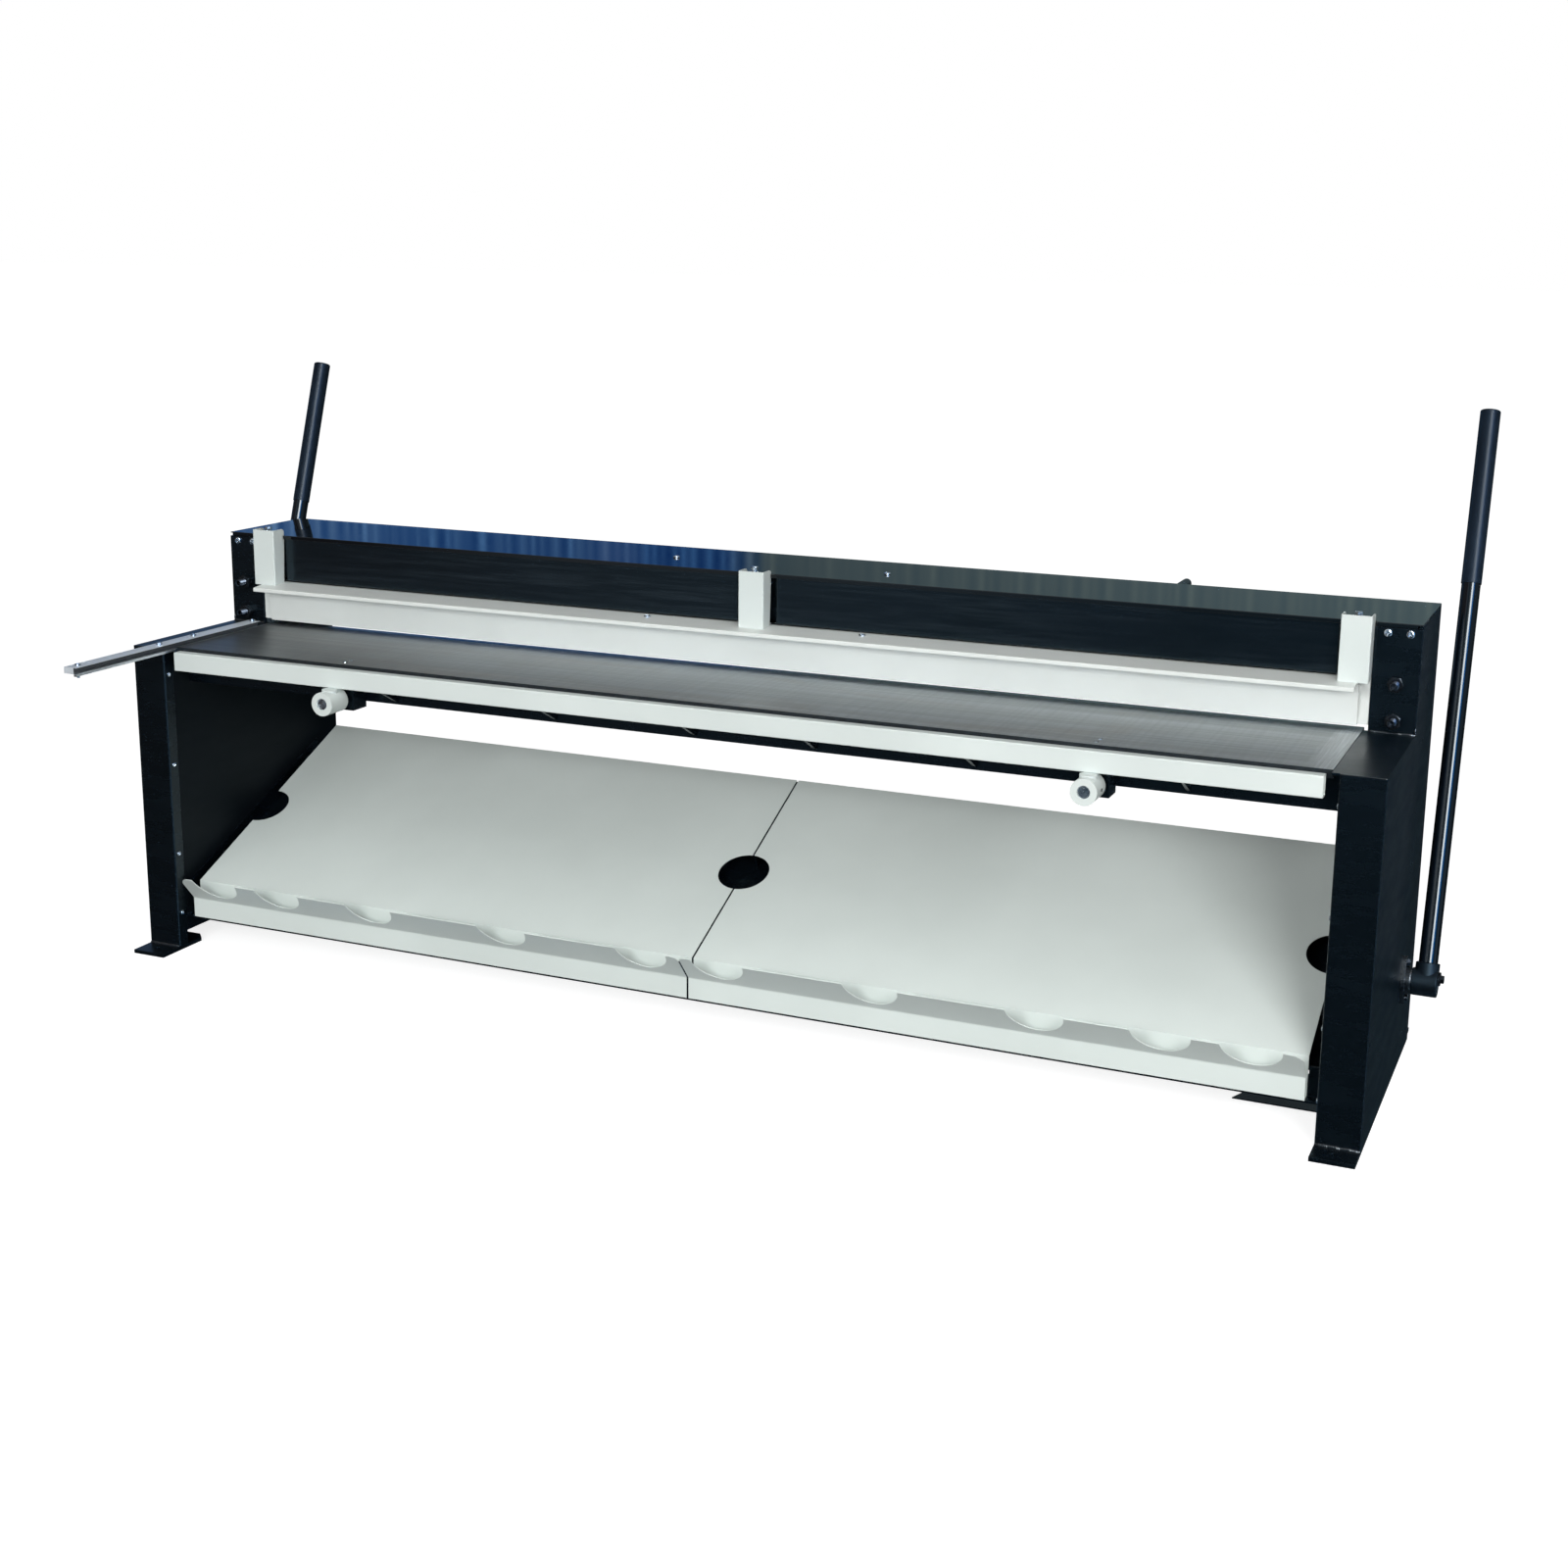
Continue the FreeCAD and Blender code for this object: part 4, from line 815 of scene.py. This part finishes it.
def sky():
    """White to look at, an even soft light on matt surfaces, and a dark room with a blue wall at
    the back left for what gloss reflects."""
    w = bpy.data.worlds.new("studio")
    SC.world = w
    w.use_nodes = True
    w.cycles.sampling_method = "NONE"
    t = w.node_tree
    t.nodes.clear()

    def node(kind, **kw):
        n = t.nodes.new(kind)
        for k, v in kw.items():
            setattr(n, k, v)
        return n

    def put(n, key, v):
        if isinstance(v, bpy.types.NodeSocket):
            t.links.new(v, n.inputs[key])
        else:
            n.inputs[key].default_value = v

    def ramp(fac, stops):
        n = node("ShaderNodeValToRGB")
        put(n, "Fac", fac)
        e = n.color_ramp.elements
        while len(e) > 1:
            e.remove(e[-1])
        for i, (pos, c) in enumerate(stops):
            c = c if isinstance(c, tuple) else (c, c, c)
            k = e[0] if i == 0 else e.new(pos)
            k.position = pos
            k.color = (*c, 1)
        return n.outputs[0]

    def mul(a, b, op="MULTIPLY"):
        n = node("ShaderNodeMath", operation=op)
        put(n, 0, a)
        put(n, 1, b)
        return n.outputs[0]

    def rng(v, a, b, c, d):
        n = node("ShaderNodeMapRange")
        for k, x in zip(("Value", "From Min", "From Max", "To Min", "To Max"), (v, a, b, c, d)):
            put(n, k, x)
        return n.outputs[0]

    def mix(fac, a, b, mode="MIX"):
        n = node("ShaderNodeMix", data_type="RGBA", blend_type=mode)
        put(n, 0, fac)
        put(n, 6, a)
        put(n, 7, b)
        return n.outputs[2]

    out = node("ShaderNodeOutputWorld")
    tc = node("ShaderNodeTexCoord").outputs["Generated"]
    sep = node("ShaderNodeSeparateXYZ")
    put(sep, 0, tc)
    X, Y, Z = sep.outputs
    az = mul(X, Y, "ARCTAN2")
    # reflections at the rear, by azimuth (0 straight back, left negative), 8 to 14 degrees up
    a01 = rng(az, -0.80, 0.30, 0.0, 1.0)
    wall = ramp(a01, [(k, tuple(2.0 * v for v in c)) for k, c in REAR_WALL])
    low = rng(Z, 0.0, 0.06, 1.0, 0.0)
    streak = node("ShaderNodeTexNoise", noise_dimensions="1D")
    put(streak, "W", mul(az, 52.0))
    put(streak, "Detail", 3.0)
    bars = ramp(streak.outputs["Fac"], [(0.36, (0.12, 0.24, 0.36)), (0.48, (0.30, 0.38, 0.46)),
                                        (0.58, (0.60, 0.58, 0.56)), (0.68, (1.0, 0.95, 0.86))])
    bars = mix(rng(a01, 0.33, 0.36, 1.0, 0.3), (0.5, 0.5, 0.5, 1), bars)
    wall = mix(1.0, wall, bars, "MULTIPLY")
    rear = mix(ramp(rng(Z, -0.3, 0.9, 0.0, 1.0), REAR_BLEND), ramp(rng(Z, -1.0, 1.0, 0.0, 1.0), REAR_Z), wall)
    rear = mix(mul(rng(az, -1.30, -1.0, 1.0, 0.0), low), rear, (0.5, 0.8, 1.1, 1))
    front = ramp(rng(Z, -1.0, 1.0, 0.0, 1.0), FRONT_Z)
    fan = mul(X, mul(Y, -1.0), "ARCTAN2")
    fan01 = rng(fan, -1.2, 1.2, 0.0, 1.0)
    front = mix(1.0, front, ramp(fan01, FRONT_AZ), "MULTIPLY")
    # a tall window to the right with a blue curtain beside it, which draw the line along the round tubes
    sill = mul(rng(Z, 0.06, 0.12, 0.0, 1.0), rng(Z, 0.60, 0.75, 1.0, 0.0))
    tall = mul(ramp(fan01, [(0.640, 0.0), (0.655, 1.0), (0.780, 1.0), (0.795, 0.0)]), sill)
    front = mix(tall, front, (16.0, 17.6, 18.5, 1))
    blue = mul(ramp(fan01, [(0.785, 0.0), (0.797, 1.0), (0.89, 0.8), (0.93, 0.0)]), sill)
    front = mix(blue, front, (0.0, 1.9, 6.0, 1))
    # low patches at both sides, seen only in the rounded upright edges of the legs
    front = mix(mul(ramp(fan01, [(0.88, 0.0), (0.92, 1.0)]), low), front, (0.8, 1.2, 1.6, 1))
    gloss = mix(ramp(rng(Y, -0.25, 0.25, 0.0, 1.0), [(0.0, 0.0), (1.0, 1.0)]), front, rear)
    soft = ramp(rng(Z, -1.0, 1.0, 0.0, 1.0), SOFT_Z)

    lp = node("ShaderNodeLightPath")
    col = mix(lp.outputs["Is Glossy Ray"], soft, gloss)
    col = mix(lp.outputs["Is Camera Ray"], col, (1, 1, 1, 1))
    bg = node("ShaderNodeBackground")
    put(bg, "Color", col)
    put(bg, "Strength", 1.0)
    t.links.new(bg.outputs[0], out.inputs["Surface"])


# positions are fractions of the azimuth span -0.80 to 0.30 rad
REAR_WALL = [(0.0, (0.03, 0.08, 0.18)), (0.12, (0.11, 0.22, 0.43)), (0.20, (0.05, 0.14, 0.34)),
             (0.265, (0.05, 0.13, 0.31)), (0.278, (0.09, 0.17, 0.36)), (0.292, (0.03, 0.10, 0.28)),
             (0.327, (0.03, 0.10, 0.27)), (0.345, (0.10, 0.14, 0.15)), (0.55, (0.15, 0.21, 0.22)),
             (0.8, (0.19, 0.27, 0.28)), (1.0, (0.16, 0.22, 0.24))]
REAR_BLEND = [(0.24, 0.0), (0.30, 1.0), (0.46, 1.0), (0.62, 0.0)]       # Z -0.3 to 0.9
REAR_Z = [(0.0, (0.016, 0.026, 0.034)), (0.46, (0.028, 0.042, 0.052)), (0.54, (0.07, 0.09, 0.11)),
          (0.70, (0.16, 0.19, 0.21)), (1.0, 0.55)]
FRONT_Z = [(0.0, 0.075), (0.36, 0.09), (0.42, 0.33), (0.50, 0.57), (0.62, 0.51), (0.80, 0.60), (1.0, 0.82)]
FRONT_AZ = [(0.0, (0.23, 0.22, 0.21)), (0.20, (0.25, 0.20, 0.17)), (0.24, (0.12, 0.03, 0.0)), (0.285, (0.79, 0.89, 1.0)),
            (0.345, (0.72, 0.88, 1.0)), (0.403, (0.24, 0.37, 0.48)), (0.45, (0.21, 0.41, 0.55)), (0.5, (0.25, 0.42, 0.55)),
            (0.70, (0.30, 0.45, 0.55)), (0.742, (0.02, 0.35, 0.85)), (0.833, (0.02, 0.25, 0.60)), (0.854, (0.05, 0.07, 0.09)),
            (0.94, (0.05, 0.07, 0.09)), (1.0, (0.35, 0.55, 0.80))]
SOFT_Z = [(0.0, 0.08), (0.47, 0.10), (0.53, 0.20), (1.0, 0.30)]


def studio():
    me = bpy.data.meshes.new("floor")
    s = 90.0
    me.from_pydata([(-s, -s, -0.0006), (s, -s, -0.0006), (s, s, -0.0006), (-s, s, -0.0006)], [], [(0, 1, 2, 3)])
    fl = bpy.data.objects.new("floor", me)
    SC.collection.objects.link(fl)
    n = NT("floor_paper")
    n.set(n.p, "Base Color", n.ramp(n.noise(n.co, 0.7, 3.0, 0.5), [(0.3, (0.52, 0.52, 0.52)), (0.7, (0.54, 0.54, 0.54))]))
    n.set(n.p, "Roughness", 0.9)
    n.set(n.p, "Specular IOR Level", 0.0)
    n.set(n.p, "Emission Color", (1, 1, 1, 1))
    n.set(n.p, "Emission Strength", 0.80)
    me.materials.append(n.m)
    # the paper is only looked at: its light and reflection are in the sky
    fl.visible_glossy = False
    fl.visible_diffuse = False

    sky()
    area("softbox_right", (3.25, -3.2, 1.8), (0.9, 0.0, 0.55), 1.4, 90, (1.0, 1.0, 1.0), 1.2).visible_glossy = False
    area("softbox_left", (-0.5, -5.0, 2.2), (-0.1, 0.0, 0.6), 2.0, 135, (0.98, 1.0, 1.0), 1.6).visible_glossy = False
    area("softbox_far_left", (-3.2, -5.2, 1.5), (-0.8, 0.0, 0.6), 1.8, 28, (0.98, 1.0, 1.0)).visible_glossy = False
    sun("top", (-0.45, 0.62, -1.0), 0.75, 70, (0.98, 1.0, 1.0))


studio()
SC.view_settings.view_transform = "Standard"
SC.view_settings.look = "None"
SC.view_settings.exposure = 0.0
